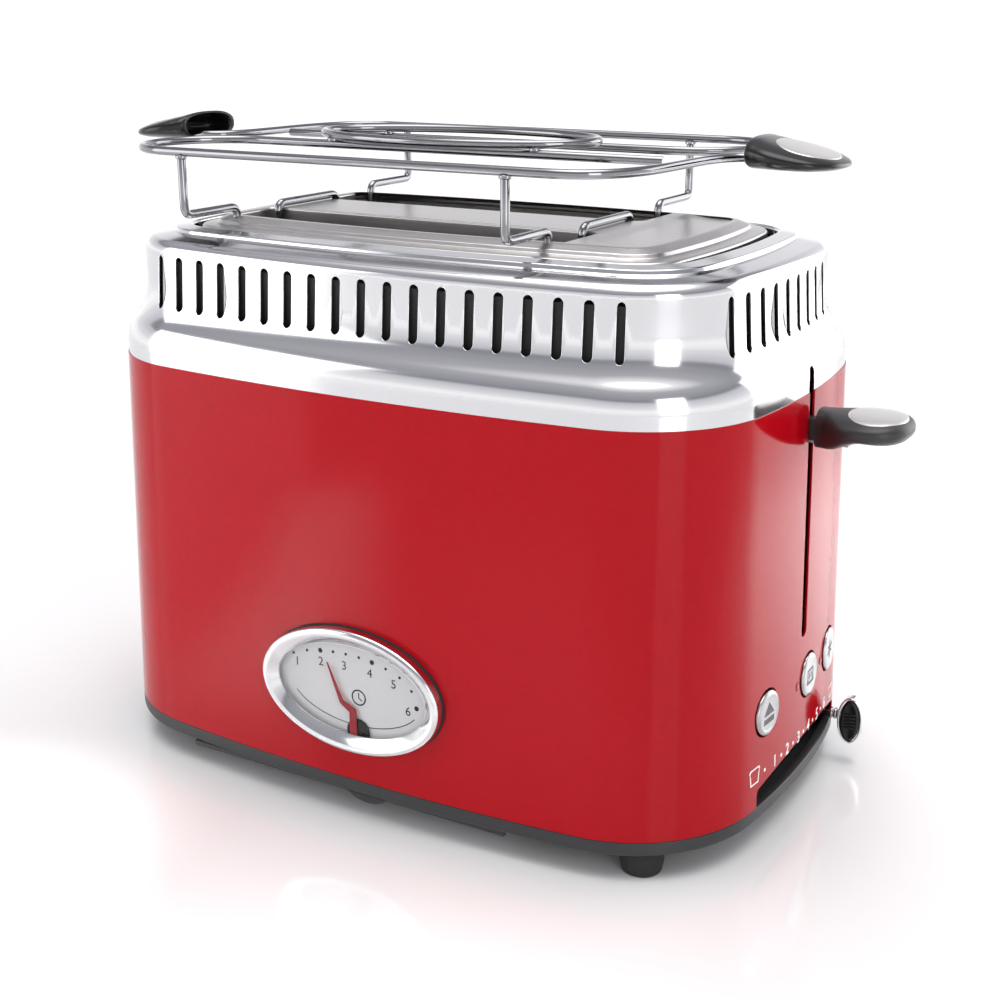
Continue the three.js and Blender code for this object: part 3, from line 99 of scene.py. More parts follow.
def finish(name, colour, size=None, depth=0, tones=None, wear=None, stretch=(1, 1, 1), detail=2.0, **surface):
    """A material whose shader takes its values from surface. Where a size is given, it has bumps of that size
    and depth in millimetres; its colour varies between two tones and its roughness between two of wear."""
    material = bpy.data.materials.new(name)
    material.use_nodes = True
    tree = material.node_tree
    shader = tree.nodes["Principled BSDF"]
    shader.inputs["Base Color"].default_value = shade(colour)
    for socket, value in surface.items():
        shader.inputs[socket.replace("_", " ").title().replace("Ior", "IOR")].default_value = value
    if not size:
        return material
    coords = add_node(tree, "TexCoord")
    scaled = add_node(tree, "Mapping", {
        "Vector": coords.outputs["Object"], "Scale": [1000 / (size * s) for s in stretch],
    })
    noise = add_node(tree, "TexNoise", {"Vector": scaled.outputs["Vector"], "Scale": 1.0, "Detail": detail})
    bump = add_node(tree, "Bump", {"Height": noise.outputs["Fac"], "Strength": 1.0, "Distance": depth / 1000})
    tree.links.new(bump.outputs["Normal"], shader.inputs["Normal"])
    if tones:
        ramp = add_node(tree, "ValToRGB", {0: noise.outputs["Fac"]})
        for end, tone, spot in zip(ramp.color_ramp.elements, tones, (0.3, 0.7)):
            end.color, end.position = shade(tone), spot
        tree.links.new(ramp.outputs["Color"], shader.inputs["Base Color"])
    if wear:
        low, high = wear
        spread = add_node(tree, "MapRange", {"Value": noise.outputs["Fac"], "To Min": low, "To Max": high})
        tree.links.new(spread.outputs["Result"], shader.inputs["Roughness"])
    return material


def lamp(name, spot, aim, size, power, spread=180, turn=0):
    """A square-cornered lamp of size millimetres at a spot; spread and turn are degrees."""
    data = bpy.data.lights.new(name, "AREA")
    data.spread = math.radians(spread)
    data.shape = "RECTANGLE"
    data.size, data.size_y = size[0] / 1000, size[1] / 1000
    data.energy = power
    light = bpy.data.objects.new(name, data)
    light.matrix_world = Matrix.Translation(place(*spot)) @ (
        (Vector(spot) - Vector(aim)).to_track_quat("Z", "Y").to_matrix().to_4x4()
    ) @ Matrix.Rotation(math.radians(turn), 4, "Z")
    bpy.context.scene.collection.objects.link(light)


tent = bpy.data.worlds.new("tent")
tent.use_nodes = True
bpy.context.scene.world = tent
tree = tent.node_tree
direction = add_node(tree, "TexCoord")
height = add_node(tree, "SeparateXYZ", {0: direction.outputs["Generated"]})
fall = add_node(tree, "ValToRGB", {0: height.outputs["Z"]})
ramp = fall.color_ramp
ramp.interpolation = "EASE"
ramp.elements[0].color = shade("#9A9A9A")
ramp.elements[1].color = shade("#FFFFFF")
ramp.elements[1].position = 0.93
for at, tone in ((0.1, "#959595"), (0.2, "#868688"), (0.38, "#79797C"), (0.46, "#505054"), (0.58, "#5C5C60"),
                 (0.74, "#656568"), (0.85, "#8B8B8C")):
    ramp.elements.new(at).color = shade(tone)
tree.links.new(fall.outputs["Color"], tree.nodes["Background"].inputs["Color"])
tree.nodes["Background"].inputs["Strength"].default_value = 4.0

# Softboxes lay bands of light along the body. Narrow lamps light pools on the table for the enamel to mirror.
lamp("front_softbox", (-1150, -880, 480), (0, 0, 90), (800, 1000), 5)
lamp("corner_strip", (1060, -740, 470), (100, -60, 150), (460, 800), 3.2)
lamp("end_softbox", (760, 1150, 440), (100, 0, 120), (1000, 1000), 6)
lamp("front_pool", (-205, -330, 800), (-205, -330, 0), (30, 380), 0.34, spread=12, turn=-30)
lamp("second_pool", (20, -330, 800), (20, -330, 0), (110, 380), 0.1, spread=20, turn=-30)
lamp("end_pool", (330, 290, 900), (330, 290, 0), (260, 420), 1.2, spread=30, turn=30)

# Cast acrylic: white, with a polished face that carries a soft, faint mirror image.
acrylic = finish("white_acrylic_sheet", "#DEDEDE", roughness=0.08, ior=1.49, specular_ior_level=1.0)
bpy.ops.mesh.primitive_plane_add(size=40, location=(0, 0, 0))
table = bpy.context.object
table.name = "worktop"
table.data.materials.append(acrylic)
bpy.context.scene.view_settings.view_transform = "Standard"


# Wrap: one band of 0.8 mm steel sheet bent round the body and stoved with gloss red enamel. It spreads a
# little towards its foot and is pierced for the gauge, the lever, the buttons, the lights and the cord.
half_length, half_depth = 140, 92.7
corner_radius = 50.3
side_bow, end_bow = 11.3, 12.7
side_radius = (half_length ** 2 + side_bow ** 2) / (2 * side_bow)
end_radius = (half_depth ** 2 + end_bow ** 2) / (2 * end_bow)
wrap_foot, seam_height, wrap_flare = 16, 165.5, 4.2
sheet_steel = 0.8


class Plan:
    """The body's outline: a walk in millimetres from the lever end, anticlockwise, gives place and normal."""

    def __init__(self, length=half_length):
        big = (length ** 2 + side_bow ** 2) / (2 * side_bow)
        side_centre = np.array([0, half_depth - big])
        end_centre = np.array([length - end_radius, 0])
        across = end_centre - side_centre
        gap = np.hypot(*across)
        reach = big - corner_radius
        along = (reach ** 2 - (end_radius - corner_radius) ** 2 + gap ** 2) / (2 * gap)
        off = math.sqrt(reach ** 2 - along ** 2)
        way = across / gap
        corner = side_centre + way * along + np.array([way[1], -way[0]]) * off
        side_angle = math.atan2(*(corner - side_centre)[::-1])
        end_angle = math.atan2(*(corner - end_centre)[::-1])
        self.arcs = [
            (end_centre, end_radius, 0, end_angle),
            (corner, corner_radius, end_angle, side_angle),
            (side_centre, big, side_angle, math.pi / 2),
        ]
        self.quarter = sum(r * (b - a) for _, r, a, b in self.arcs)
        self.total = 4 * self.quarter
        self.middles = {"end": 0, "back": self.quarter, "left": 2 * self.quarter, "front": 3 * self.quarter}

    def at(self, walk):
        walk = np.mod(np.asarray(walk, float), self.total)
        turn = (walk // self.quarter).astype(int)
        rest = walk - turn * self.quarter
        rest = np.where(turn % 2 == 1, self.quarter - rest, rest)
        spot, normal = np.zeros((*walk.shape, 2)), np.zeros((*walk.shape, 2))
        start = 0
        for centre, radius, a, b in self.arcs:
            here = (rest >= start - 1e-9) & (rest <= start + radius * (b - a) + 1e-6)
            angle = a + (rest - start) / radius
            unit = np.stack([np.cos(angle), np.sin(angle)], -1)
            spot[here] = (centre + radius * unit)[here]
            normal[here] = unit[here]
            start += radius * (b - a)
        flip = np.stack([np.where((turn == 1) | (turn == 2), -1, 1), np.where(turn >= 2, -1, 1)], -1)
        return spot * flip, normal * flip

    def walk_on(self, side, inset, distance):
        """The walk whose place, drawn in by inset, lies a distance from the middle of a side."""
        arcs = self.arcs if side in ("end", "left") else self.arcs[::-1]
        left, walk = abs(distance), 0
        for _, radius, a, b in arcs:
            room = (radius - inset) * (b - a)
            walk += min(left, room) * radius / (radius - inset)
            left = max(left - room, 0)
        return self.middles[side] + math.copysign(walk, distance)


# The two ends of the sheet meet on the back, a little to one side of its middle.
plan = Plan()
seam = plan.middles["back"] + 5.6
seam_walks = np.array([seam - plan.total, seam])


class Section:
    """A section across a band: corners are (inset, height, radius), each rounded to its radius."""

    def __init__(self, corners):
        spots = np.array([c[:2] for c in corners], float)
        steps = np.diff(spots, axis=0)
        ways = steps / np.linalg.norm(steps, axis=1)[:, None]
        self.points, facing = [], []
        # Each rounded corner becomes an arc with a point about every 12 degrees.
        for i, spot in enumerate(spots):
            into, onward = ways[max(i - 1, 0)], ways[min(i, len(ways) - 1)]
            turn = math.atan2(into[0] * onward[1] - into[1] * onward[0], into @ onward)
            radius = corners[i][2] if len(corners[i]) > 2 else 0
            if not radius or abs(turn) < 1e-6:
                self.points.append(spot)
                facing.append(into + onward)
                continue
            side = math.copysign(radius, turn)
            start = spot - into * radius * math.tan(abs(turn) / 2)
            centre = start + side * np.array([-into[1], into[0]])
            count = max(2, round(abs(math.degrees(turn)) / 12))
            for k in range(count + 1):
                c, s = math.cos(turn * k / count), math.sin(turn * k / count)
                way = np.array([into[0] * c - into[1] * s, into[0] * s + into[1] * c])
                self.points.append(centre - side * np.array([-way[1], way[0]]))
                facing.append(way)
        self.points = np.array(self.points)
        facing = np.array(facing) / np.linalg.norm(facing, axis=1)[:, None]
        self.normals = np.column_stack([-facing[:, 1], facing[:, 0]])
        self.run = np.concatenate([[0], np.cumsum(np.linalg.norm(np.diff(self.points, axis=0), axis=1))])

    def rows(self, spacing):
        """Places along the section, no further apart than spacing."""
        parts = [np.linspace(a, b, max(1, math.ceil((b - a) / spacing)), endpoint=False)
                 for a, b in zip(self.run, self.run[1:]) if b - a > 1e-6]
        return np.concatenate([*parts, self.run[-1:]])

    def at_height(self, z):
        return np.interp(z, self.points[:, 1], self.run)

    def along(self, outline):
        """The surface that this section makes as it follows an outline."""
        def surface(u, v):
            spot, normal = outline.at(u)
            inset, z = (np.interp(v, self.run, self.points[:, k]) for k in (0, 1))
            out, up = (np.interp(v, self.run, self.normals[:, k]) for k in (0, 1))
            facing = np.column_stack([-normal * out[:, None], up])
            point = np.column_stack([spot - normal * inset[:, None], z])
            return point, facing / np.linalg.norm(facing, axis=1)[:, None]
        return surface


def inside(points, polygon):
    """Which of the points lie inside a closed polygon."""
    x, y = points[:, 0], points[:, 1]
    near = (points >= polygon.min(0)).all(1) & (points <= polygon.max(0)).all(1)
    x, y = x[near], y[near]
    found = np.zeros(len(x), bool)
    for (x0, y0), (x1, y1) in zip(polygon, np.roll(polygon, -1, axis=0)):
        if y0 != y1:
            found ^= ((y0 > y) != (y1 > y)) & (x < (x1 - x0) * (y - y0) / (y1 - y0) + x0)
    result = np.zeros(len(points), bool)
    result[near] = found
    return result


def triangles(loops, more=()):
    """Points and anticlockwise triangles of a flat area, inside its first loop and outside each other one."""
    flat = np.vstack([*loops, *more])
    edges, start = [], 0
    for loop in loops:
        edges += [(start + i, start + (i + 1) % len(loop)) for i in range(len(loop))]
        start += len(loop)
    made, _, faces, *_ = delaunay_2d_cdt([Vector(p) for p in flat], edges, [], 1, 1e-5)
    made = np.array([tuple(p) for p in made])
    faces = np.array(faces)
    middle = made[faces].mean(1)
    kept = inside(middle, loops[0])
    for loop in loops[1:]:
        kept &= ~inside(middle, loop)
    return made, faces[kept]


def pressed_sheet(surface, grid_u, grid_v, outer=None, holes=(), raw=None, sheet=sheet_steel, roll=0.2,
                  flanges=()):
    """Both faces of a sheet laid on a surface, with rolled edges round its rim and its holes.

    surface maps flat (u, v) to place and normal. raw says which outer edges get no wall. flanges gives
    depths, in the order of the first holes, of lips that are turned down."""
    u, v = np.meshgrid(grid_u, grid_v)
    grid = np.column_stack([u.ravel(), v.ravel()])
    if outer is None:
        low, high = grid_u[:-1], grid_v[:-1]
        outer = np.vstack([
            np.column_stack([low, np.full(len(low), grid_v[0])]),
            np.column_stack([np.full(len(high), grid_u[-1]), high]),
            np.column_stack([grid_u[:0:-1], np.full(len(low), grid_v[-1])]),
            np.column_stack([np.full(len(high), grid_u[0]), grid_v[:0:-1]]),
        ])
    loops = [np.asarray(outer, float), *[np.asarray(h, float) for h in holes]]
    # Grid points outside the sheet, or too close to an edge for a good triangle, are left out.
    too_close, at_once = 0.15, 2_000_000
    free = inside(grid, loops[0])
    for loop in loops:
        near = np.where(free & (grid > loop.min(0) - 1).all(1) & (grid < loop.max(0) + 1).all(1))[0]
        for part in np.array_split(near, max(1, len(near) * len(loop) // at_once)):
            gaps = np.linalg.norm(grid[part][:, None] - loop[None], axis=2).min(axis=1) if len(part) else []
            free[part[np.asarray(gaps) < too_close]] = False
        if loop is not loops[0]:
            free &= ~inside(grid, loop)
    made, faces = triangles(loops, [grid[free]])
    points, normals = surface(made[:, 0], made[:, 1])
    a, b, c = (points[faces[:, i]] for i in range(3))
    if (np.cross(b - a, c - a) * normals[faces[:, 0]]).sum() < 0:
        faces = faces[:, ::-1]
    # The rim is made of the edges that have a triangle on one side only; each belongs to a hole or to none.
    count = len(points)
    edges = np.vstack([faces[:, [0, 1]], faces[:, [1, 2]], faces[:, [2, 0]]])
    rim = edges[~np.isin(edges[:, 1] * count + edges[:, 0], edges[:, 0] * count + edges[:, 1])]
    owner = np.full(count, -1)
    for k, loop in enumerate(loops[1:]):
        owner[((made >= loop.min(0) - 1e-3) & (made <= loop.max(0) + 1e-3)).all(1)] = k
    belongs = np.where(owner[rim[:, 0]] == owner[rim[:, 1]], owner[rim[:, 0]], -1)
    if raw is not None:
        bare = (belongs < 0) & raw(made[rim[:, 0]]) & raw(made[rim[:, 1]])
        rim, belongs = rim[~bare], belongs[~bare]
    # At each rim point, away leads along the sheet and off its edge.
    side = np.cross(points[rim[:, 1]] - points[rim[:, 0]], normals[rim[:, 0]])
    side /= np.linalg.norm(side, axis=1)[:, None]
    away = np.zeros((count, 3))
    for end in (0, 1):
        np.add.at(away, rim[:, end], side)
    away /= np.maximum(np.linalg.norm(away, axis=1), 1e-9)[:, None]
    # The rim rolls over by rows of points to the underside, or runs on down as a lip and up its inside.
    skin, facing = [faces], [normals[faces]]
    under = count + np.arange(count)
    stack, total = [points, points - normals * sheet], 2 * count
    flange_radius = 1.0
    for group in (-1, *range(len(flanges))):
        here = rim[belongs == group] if group >= 0 else rim[(belongs < 0) | (belongs >= len(flanges))]
        if not len(here):
            continue
        depth, radius = (flanges[group], flange_radius) if group >= 0 else (sheet, roll)
        turns = [(radius * math.sin(t), radius * (1 - math.cos(t)), (math.sin(t), math.cos(t)))
                 for t in np.radians([30, 60, 90])] + [(radius, depth, (1, 0))]
        steps = [(before[2], *turn) for before, turn in zip([(0, 0, (0, 1)), *turns], turns)]
        if group >= 0:
            steps += [((0, -1), radius - sheet, depth, (0, -1)), ((-1, 0), radius - sheet, sheet, (-1, 0))]
        at = np.unique(here)
        a, b = np.searchsorted(at, here).T
        last = at
        for first, out, down, second in steps:
            ring = total + np.arange(len(at))
            stack.append(points[at] + away[at] * out - normals[at] * down)
            total += len(at)
            f0, f1 = (away[at] * f[0] + normals[at] * f[1] for f in (first, second))
            skin += [np.column_stack(corner) for corner in (
                [last[b], last[a], ring[a]], [last[b], ring[a], ring[b]])]
            facing += [np.stack([f0[b], f0[a], f1[a]], 1), np.stack([f0[b], f1[a], f1[b]], 1)]
            last = ring
        under[at] = last
    skin.append(under[faces[:, ::-1]])
    facing.append(-normals[faces[:, ::-1]])
    return np.vstack(stack), np.vstack(skin), np.vstack(facing)


def volume(points, faces):
    """Six times the volume inside a closed skin; it is negative if the skin is inside out."""
    fans = np.array([(f[0], f[k], f[k + 1]) for f in faces for k in range(1, len(f) - 1)])
    a, b, c = (points[fans[:, i]] for i in range(3))
    return (np.cross(a, b) * c).sum()


def make_piece(name, parts, material, body, slot, *cad):
    """One welded mesh object from (points, faces[, corner normals]) parts in millimetres, on a CAD body. It
    stands for the CAD nodes that are named last."""
    spots, faces, facing, start = [], [], [], 0
    for points, part_faces, *normals in parts:
        points = np.asarray(points, float)
        if not normals and volume(points, part_faces) < 0:
            part_faces = [f[::-1] for f in part_faces]
        spots.append(points)
        faces += [[int(i) + start for i in f] for f in part_faces]
        if normals:
            facing.append(np.asarray(normals[0]).reshape(-1, 3))
        start += len(points)
    # Points that share a place to a thousandth of a millimetre become one, and faces that collapse go.
    spots = np.vstack(spots)
    _, first, weld = np.unique(np.round(spots, 3), axis=0, return_index=True, return_inverse=True)
    weld = weld.ravel()
    kept_faces, kept_corners, corner = [], [], 0
    for face in faces:
        loop = [int(weld[i]) for i in face]
        slim = [i for k, i in enumerate(loop) if i != loop[k - 1]]
        if len(slim) > 2 and len(set(slim)) == len(slim):
            kept_faces.append(slim)
            kept_corners += [corner + k for k, i in enumerate(loop) if i != loop[k - 1]]
        corner += len(face)
    mesh = bpy.data.meshes.new(name)
    mesh.from_pydata((spots[first] / 1000 + np.array(body_middle)).tolist(), [], kept_faces)
    mesh.polygons.foreach_set("use_smooth", [True] * len(mesh.polygons))
    if facing:
        mesh.normals_split_custom_set(np.vstack(facing)[kept_corners].tolist())
    else:
        mesh.set_sharp_from_angle(angle=math.radians(40))
    mesh.update()
    piece = bpy.data.objects.new(name, mesh)
    bpy.context.scene.collection.objects.link(piece)
    mesh.materials.append(material)
    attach(piece, body)
    if cad:
        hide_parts(*cad)


def dress(material, *names):
    """Gives CAD nodes that are carried over their finish."""
    for name in names:
        nodes[name].data.materials.clear()
        nodes[name].data.materials.append(material)


def wrap_inset(z):
    return -wrap_flare * (seam_height - z) / (seam_height - wrap_foot)


def end_walk(y, z, way=1):
    """How far round the plan a point of the lever end (way 1) or of the other end (way -1) lies."""
    angle = np.arcsin(way * np.asarray(y) / (end_radius - wrap_inset(np.asarray(z))))
    return end_radius * angle + (0 if way > 0 else plan.middles["left"])


def front_walk(x, z):
    return plan.middles["front"] - plan.total + side_radius * np.arcsin(
        np.asarray(x) / (side_radius - wrap_inset(np.asarray(z))))


def full_turn(count):
    return np.linspace(0, 2 * np.pi, count, endpoint=False)


def oval(half_u, half_v, middle_u, middle_v, count):
    t = full_turn(count)
    return middle_u + half_u * np.cos(t), middle_v + half_v * np.sin(t)


def upright_slot(half_width, low, high, round_low=True, round_high=True, count=10):
    """An upright slot as (across, up) points, with round or square ends."""
    t = np.linspace(0, np.pi, count + 1)
    top = [(half_width * math.cos(a), high - half_width + half_width * math.sin(a)) for a in t]
    bottom = [(-half_width * math.cos(a), low + half_width - half_width * math.sin(a)) for a in t]
    if not round_high:
        top = [(half_width, high), (-half_width, high)]
    if not round_low:
        bottom = [(-half_width, low), (half_width, low)]
    return np.array(top + bottom)


# Sprayed enamel dries with a faint orange peel, here 3 mm across and under a hundredth of a millimetre deep.
enamel = finish("stoved_gloss_enamel", "#A40513", 3.0, 0.004, tones=("#A20412", "#A60614"), roughness=0.1,
                ior=1.45, specular_ior_level=0.2)

button_places, button_height, button_radius = (-33.5, 7, 35), 52, 9.2
light_places, light_height, light_hole = (-5.5, 22.8), 51.5, 1.9
gauge_half_width, gauge_half_height, gauge_height = 40.3, 24.9, 53.3
gland_y, gland_height, gland_hole = 40, 29, 6.8
lever_half_width, lever_low, lever_top = 2.75, 70, 175.3
wrap_holes = [upright_slot(lever_half_width, lever_low, seam_height + 4, round_high=False)]
round_holes = [(y, button_height, button_radius + 0.4, 48) for y in button_places]
round_holes += [(y, light_height, light_hole, 20) for y in light_places]
for y, z, radius, count in round_holes:
    across, up = oval(radius, radius, y, z, count)
    wrap_holes.append(np.column_stack([end_walk(across, up), up]))
# The browning control slides along a notch in the foot of the sheet.
notch = [(51, 12), (51, 21.2), (50.4, 22.6), (49, 23.2), (-38, 23.2), (-39.4, 22.6), (-40, 21.2), (-40, 12)]
wrap_holes.append(np.array([(end_walk(y, z), z) for y, z in notch]))
across, up = oval(gauge_half_width + 0.3, gauge_half_height + 0.3, 0, gauge_height, 120)
wrap_holes.append(np.column_stack([front_walk(across, up), up]))
across, up = oval(gland_hole, gland_hole, gland_y, gland_height, 32)
wrap_holes.append(np.column_stack([end_walk(across, up, -1) - plan.total, up]))


def on_wrap(u, v):
    spot, normal = plan.at(u)
    facing = np.column_stack([normal, np.full(len(v), wrap_flare / (seam_height - wrap_foot))])
    point = np.column_stack([spot - normal * wrap_inset(v)[:, None], v])
    return point, facing / np.linalg.norm(facing, axis=1)[:, None]


def at_seam(flat):
    return np.abs(flat[:, :1] - seam_walks).min(axis=1) < 1e-6


around = np.linspace(*seam_walks, 233)
make_piece("wrap_sheet", [
    pressed_sheet(on_wrap, around, np.linspace(wrap_foot, seam_height, 26), holes=wrap_holes, raw=at_seam)
], enamel, "housing", "painted_red", "wrap")


# Collar: a deep ring pressed from steel sheet and chromium plated. A round shoulder turns into a hollow
# throat and an upright wall with punched vents, and the rim steps in twice over the top plate.
collar_foot, band_height, shoulder, throat, sweep = seam_height + 0.3, 4.2, 16, 24, 40
wall_height, edge_radius, edge_sweep = 11.8, 5, 80
wall_inset = 0.4 + (shoulder + throat) * (1 - math.cos(math.radians(sweep)))
wall_low = collar_foot + band_height + (shoulder + throat) * math.sin(math.radians(sweep))
wall_top = wall_low + wall_height
ledge_foot = wall_top + edge_radius * math.sin(math.radians(edge_sweep))
corners = [(0.4, collar_foot)]
for a in np.radians(np.arange(0, sweep + 1, 2.5)):
    corners.append((0.4 + shoulder * (1 - math.cos(a)), collar_foot + band_height + shoulder * math.sin(a)))
for a in np.radians(np.arange(sweep - 2.5, -1, -2.5)):
    corners.append((wall_inset - throat * (1 - math.cos(a)), wall_low - throat * math.sin(a)))
for a in np.radians(np.arange(0, edge_sweep + 1, 5)):
    corners.append((wall_inset + edge_radius * (1 - math.cos(a)), wall_top + edge_radius * math.sin(a)))
ledge_end = wall_inset + edge_radius + 6.7
lip_inset, collar_top = ledge_end + 7.9, ledge_foot + 3.9
corners += [
    (ledge_end, ledge_foot + 1.2, 1.0),
    (ledge_end + 0.8, ledge_foot + 3.0, 0.9),
    (lip_inset, collar_top, 1.2),
    (lip_inset, ledge_foot + 0.5),
]
collar_section = Section(corners)
# Buffed plating: a mirror with a slow waviness about 18 mm long from the press, and some duller patches.
chrome = finish("polished_chromium_plate", "#D9D9DB", 18, 0.006, wear=(0.09, 0.15), detail=1.0, metallic=1.0,
                roughness=0.12)
vent_top, vent_height, vent_half_width = wall_top - 0.5, 21, 2.1
vent_holes = []
for side, count, pitch in (("front", 19, 11.05), ("back", 19, 11.05), ("end", 10, 10.9), ("left", 10, 10.9)):
    for k in range(count):
        middle = plan.walk_on(side, wall_inset, (k - (count - 1) / 2) * pitch)
        hole = upright_slot(vent_half_width, vent_top - vent_height, vent_top)
        hole[:, 0] += middle - (plan.total if middle > seam_walks[1] else 0)
        hole[:, 1] = collar_section.at_height(hole[:, 1])
        vent_holes.append(hole)
lever_cut = upright_slot(lever_half_width, collar_foot - 6, lever_top, round_low=False)
lever_cut[:, 1] = np.where(lever_cut[:, 1] < collar_foot, -1, collar_section.at_height(lever_cut[:, 1]))
make_piece("collar_pressing", [
    pressed_sheet(collar_section.along(plan), around, collar_section.rows(2.2), raw=at_seam, roll=0.25,
                  holes=[*vent_holes, lever_cut])
], chrome, "housing", "polished_chrome", "collar")


# Vent liner: a band of steel behind the vents, which hides the works and keeps crumbs in. Its near-black
# colour, with a fine tooth, is painted shade for the dark inside of the body, so the vents read as dark
# slots.
vent_painted_shade = finish("vent_liner_painted_shade", "#1A1A1B", 0.8, 0.02, tones=("#161617", "#202021"),
                    wear=(0.6, 0.8), roughness=0.7)
dress(vent_painted_shade, "vent_liner")


# Top plate: one pressing of stainless steel with a brushed grain along the toaster. Its brim sits just inside
# the collar, a step rises to the crown, and both bread slots have lips turned down 9 mm.
# Real brush lines are 0.1 mm apart; they are drawn 0.35 mm apart so that they show.
brushed = finish("brushed_stainless_steel", "#C9C6C6", 0.35, 0.003, tones=("#BAB7B6", "#CFCCCB"),
                 wear=(0.24, 0.36), stretch=(160, 1, 1), metallic=1.0, roughness=0.3)
plate_sheet = 0.6
plate_plan = Plan(half_length - 3.2)
plate_inset, plate_height = lip_inset + 0.8, collar_top - 0.3
crown, crown_inset = plate_height + 3.7, plate_inset + 13.5
rim_section = Section([
    (plate_inset, plate_height - 3.5),
    (plate_inset, plate_height, 1.3),
    (plate_inset + 6, plate_height + 0.5, 0.9),
    (plate_inset + 7, plate_height + 2, 0.9),
    (plate_inset + 11.5, crown, 5),
    (crown_inset, crown),
])
plate_seam = np.array([0, plate_plan.total])
plate_around = np.linspace(*plate_seam, 241)


def rim_bare(flat):
    ends = np.abs(flat[:, :1] - plate_seam).min(axis=1) < 1e-6
    return ends | (flat[:, 1] > rim_section.run[-1] - 1e-6)


def rounded_box(x0, x1, y0, y1, radius, steps=8):
    parts = []
    for cx, cy, turn in ((x1, y1, 0), (x0, y1, 90), (x0, y0, 180), (x1, y0, 270)):
        a = np.radians(np.linspace(turn, turn + 90, steps + 1))
        mid = (cx - math.copysign(radius, cx - (x0 + x1) / 2), cy - math.copysign(radius, cy - (y0 + y1) / 2))
        parts.append(np.column_stack([mid[0] + radius * np.cos(a), mid[1] + radius * np.sin(a)]))
    return np.vstack(parts)


slot_left, slot_right, slot_inner, slot_outer, slot_depth, mouth_roll = -89.2, 61.2, 17.8, 48.7, 9, 1.0
slot_loops = []
for low, high in ((-slot_outer, -slot_inner), (slot_inner, slot_outer)):
    slot_loops.append(rounded_box(slot_left - mouth_roll, slot_right + mouth_roll, low - mouth_roll,
                                  high + mouth_roll, 5.2))
pad_middle, pad_half, pad_corner, pad_depth, pad_slope = (81, 0), (18, 50), 17, 0.9, 9.0


def crown_height(x, y):
    """The crown is flat but for a shallow pad between the slots and the lever end."""
    across = np.abs(x - pad_middle[0]) - (pad_half[0] - pad_corner)
    up = np.abs(y - pad_middle[1]) - (pad_half[1] - pad_corner)
    far = np.hypot(np.maximum(across, 0), np.maximum(up, 0)) + np.minimum(np.maximum(across, up), 0)
    t = np.clip((pad_corner - far) / pad_slope, 0, 1)
    return crown - pad_depth * t * t * (3 - 2 * t)


def on_crown(x, y):
    small = 0.05
    point = np.column_stack([x, y, crown_height(x, y)])
    slope_x = (crown_height(x + small, y) - crown_height(x - small, y)) / (2 * small)
    slope_y = (crown_height(x, y + small) - crown_height(x, y - small)) / (2 * small)
    facing = np.column_stack([-slope_x, -slope_y, np.ones(len(x))])
    return point, facing / np.linalg.norm(facing, axis=1)[:, None]


spot, normal = plate_plan.at(plate_around[:-1])
crown_rim = spot - normal * crown_inset
make_piece("top_plate_pressing", [
    pressed_sheet(rim_section.along(plate_plan), plate_around, rim_section.rows(2), raw=rim_bare,
                  sheet=plate_sheet),
    pressed_sheet(on_crown, np.arange(-100, 100, 1.5), np.arange(-60, 60, 1.5), outer=crown_rim,
                  holes=slot_loops, raw=lambda flat: np.ones(len(flat), bool), sheet=plate_sheet,
                  flanges=(slot_depth, slot_depth)),
], brushed, "housing", "brushed", "top_plate")


# Base: one moulding of black ABS with a floor, a strip that shows under the wrap and an upstand inside it.
# It carries the feet, the rails of the crumb tray and the posts of the control board.
base_foot, strip_top, floor_top = 10, 15.7, 12.5
# Spark-eroded mould texture, a fine leather of 0.5 mm that takes the shine off.
moulded_black = finish("moulded_black_abs", "#232325", 0.5, 0.012, tones=("#1F1F21", "#29292B"),
                       wear=(0.36, 0.5), roughness=0.42, ior=1.53)


def lofted(rings, closed=False, capped=True):
    """Points and faces of a skin over rings of equal count, which closes on itself or ends in fans."""
    rings = np.asarray(rings, float)
    rows, n = rings.shape[:2]
    points = rings.reshape(-1, 3)
    faces = []
    for k in range(rows if closed else rows - 1):
        low, high = k * n, (k + 1) % rows * n
        faces += [[low + i, low + (i + 1) % n, high + (i + 1) % n, high + i] for i in range(n)]
    if capped and not closed:
        points = np.vstack([points, rings[0].mean(0), rings[-1].mean(0)])
        faces += [[rows * n, (i + 1) % n, i] for i in range(n)]
        faces += [[rows * n + 1, (rows - 1) * n + i, (rows - 1) * n + (i + 1) % n] for i in range(n)]
    return points, faces


def round_the_plan(corners, count=240):
    """A moulded ring that follows the body's outline: corners are (inset, height, rounding)."""
    spot, normal = plan.at(np.linspace(0, plan.total, count, endpoint=False))
    rings = [np.column_stack([spot - normal * inset, np.full(count, z)])
             for inset, z in Section(corners).points]
    return lofted(rings, closed=True)


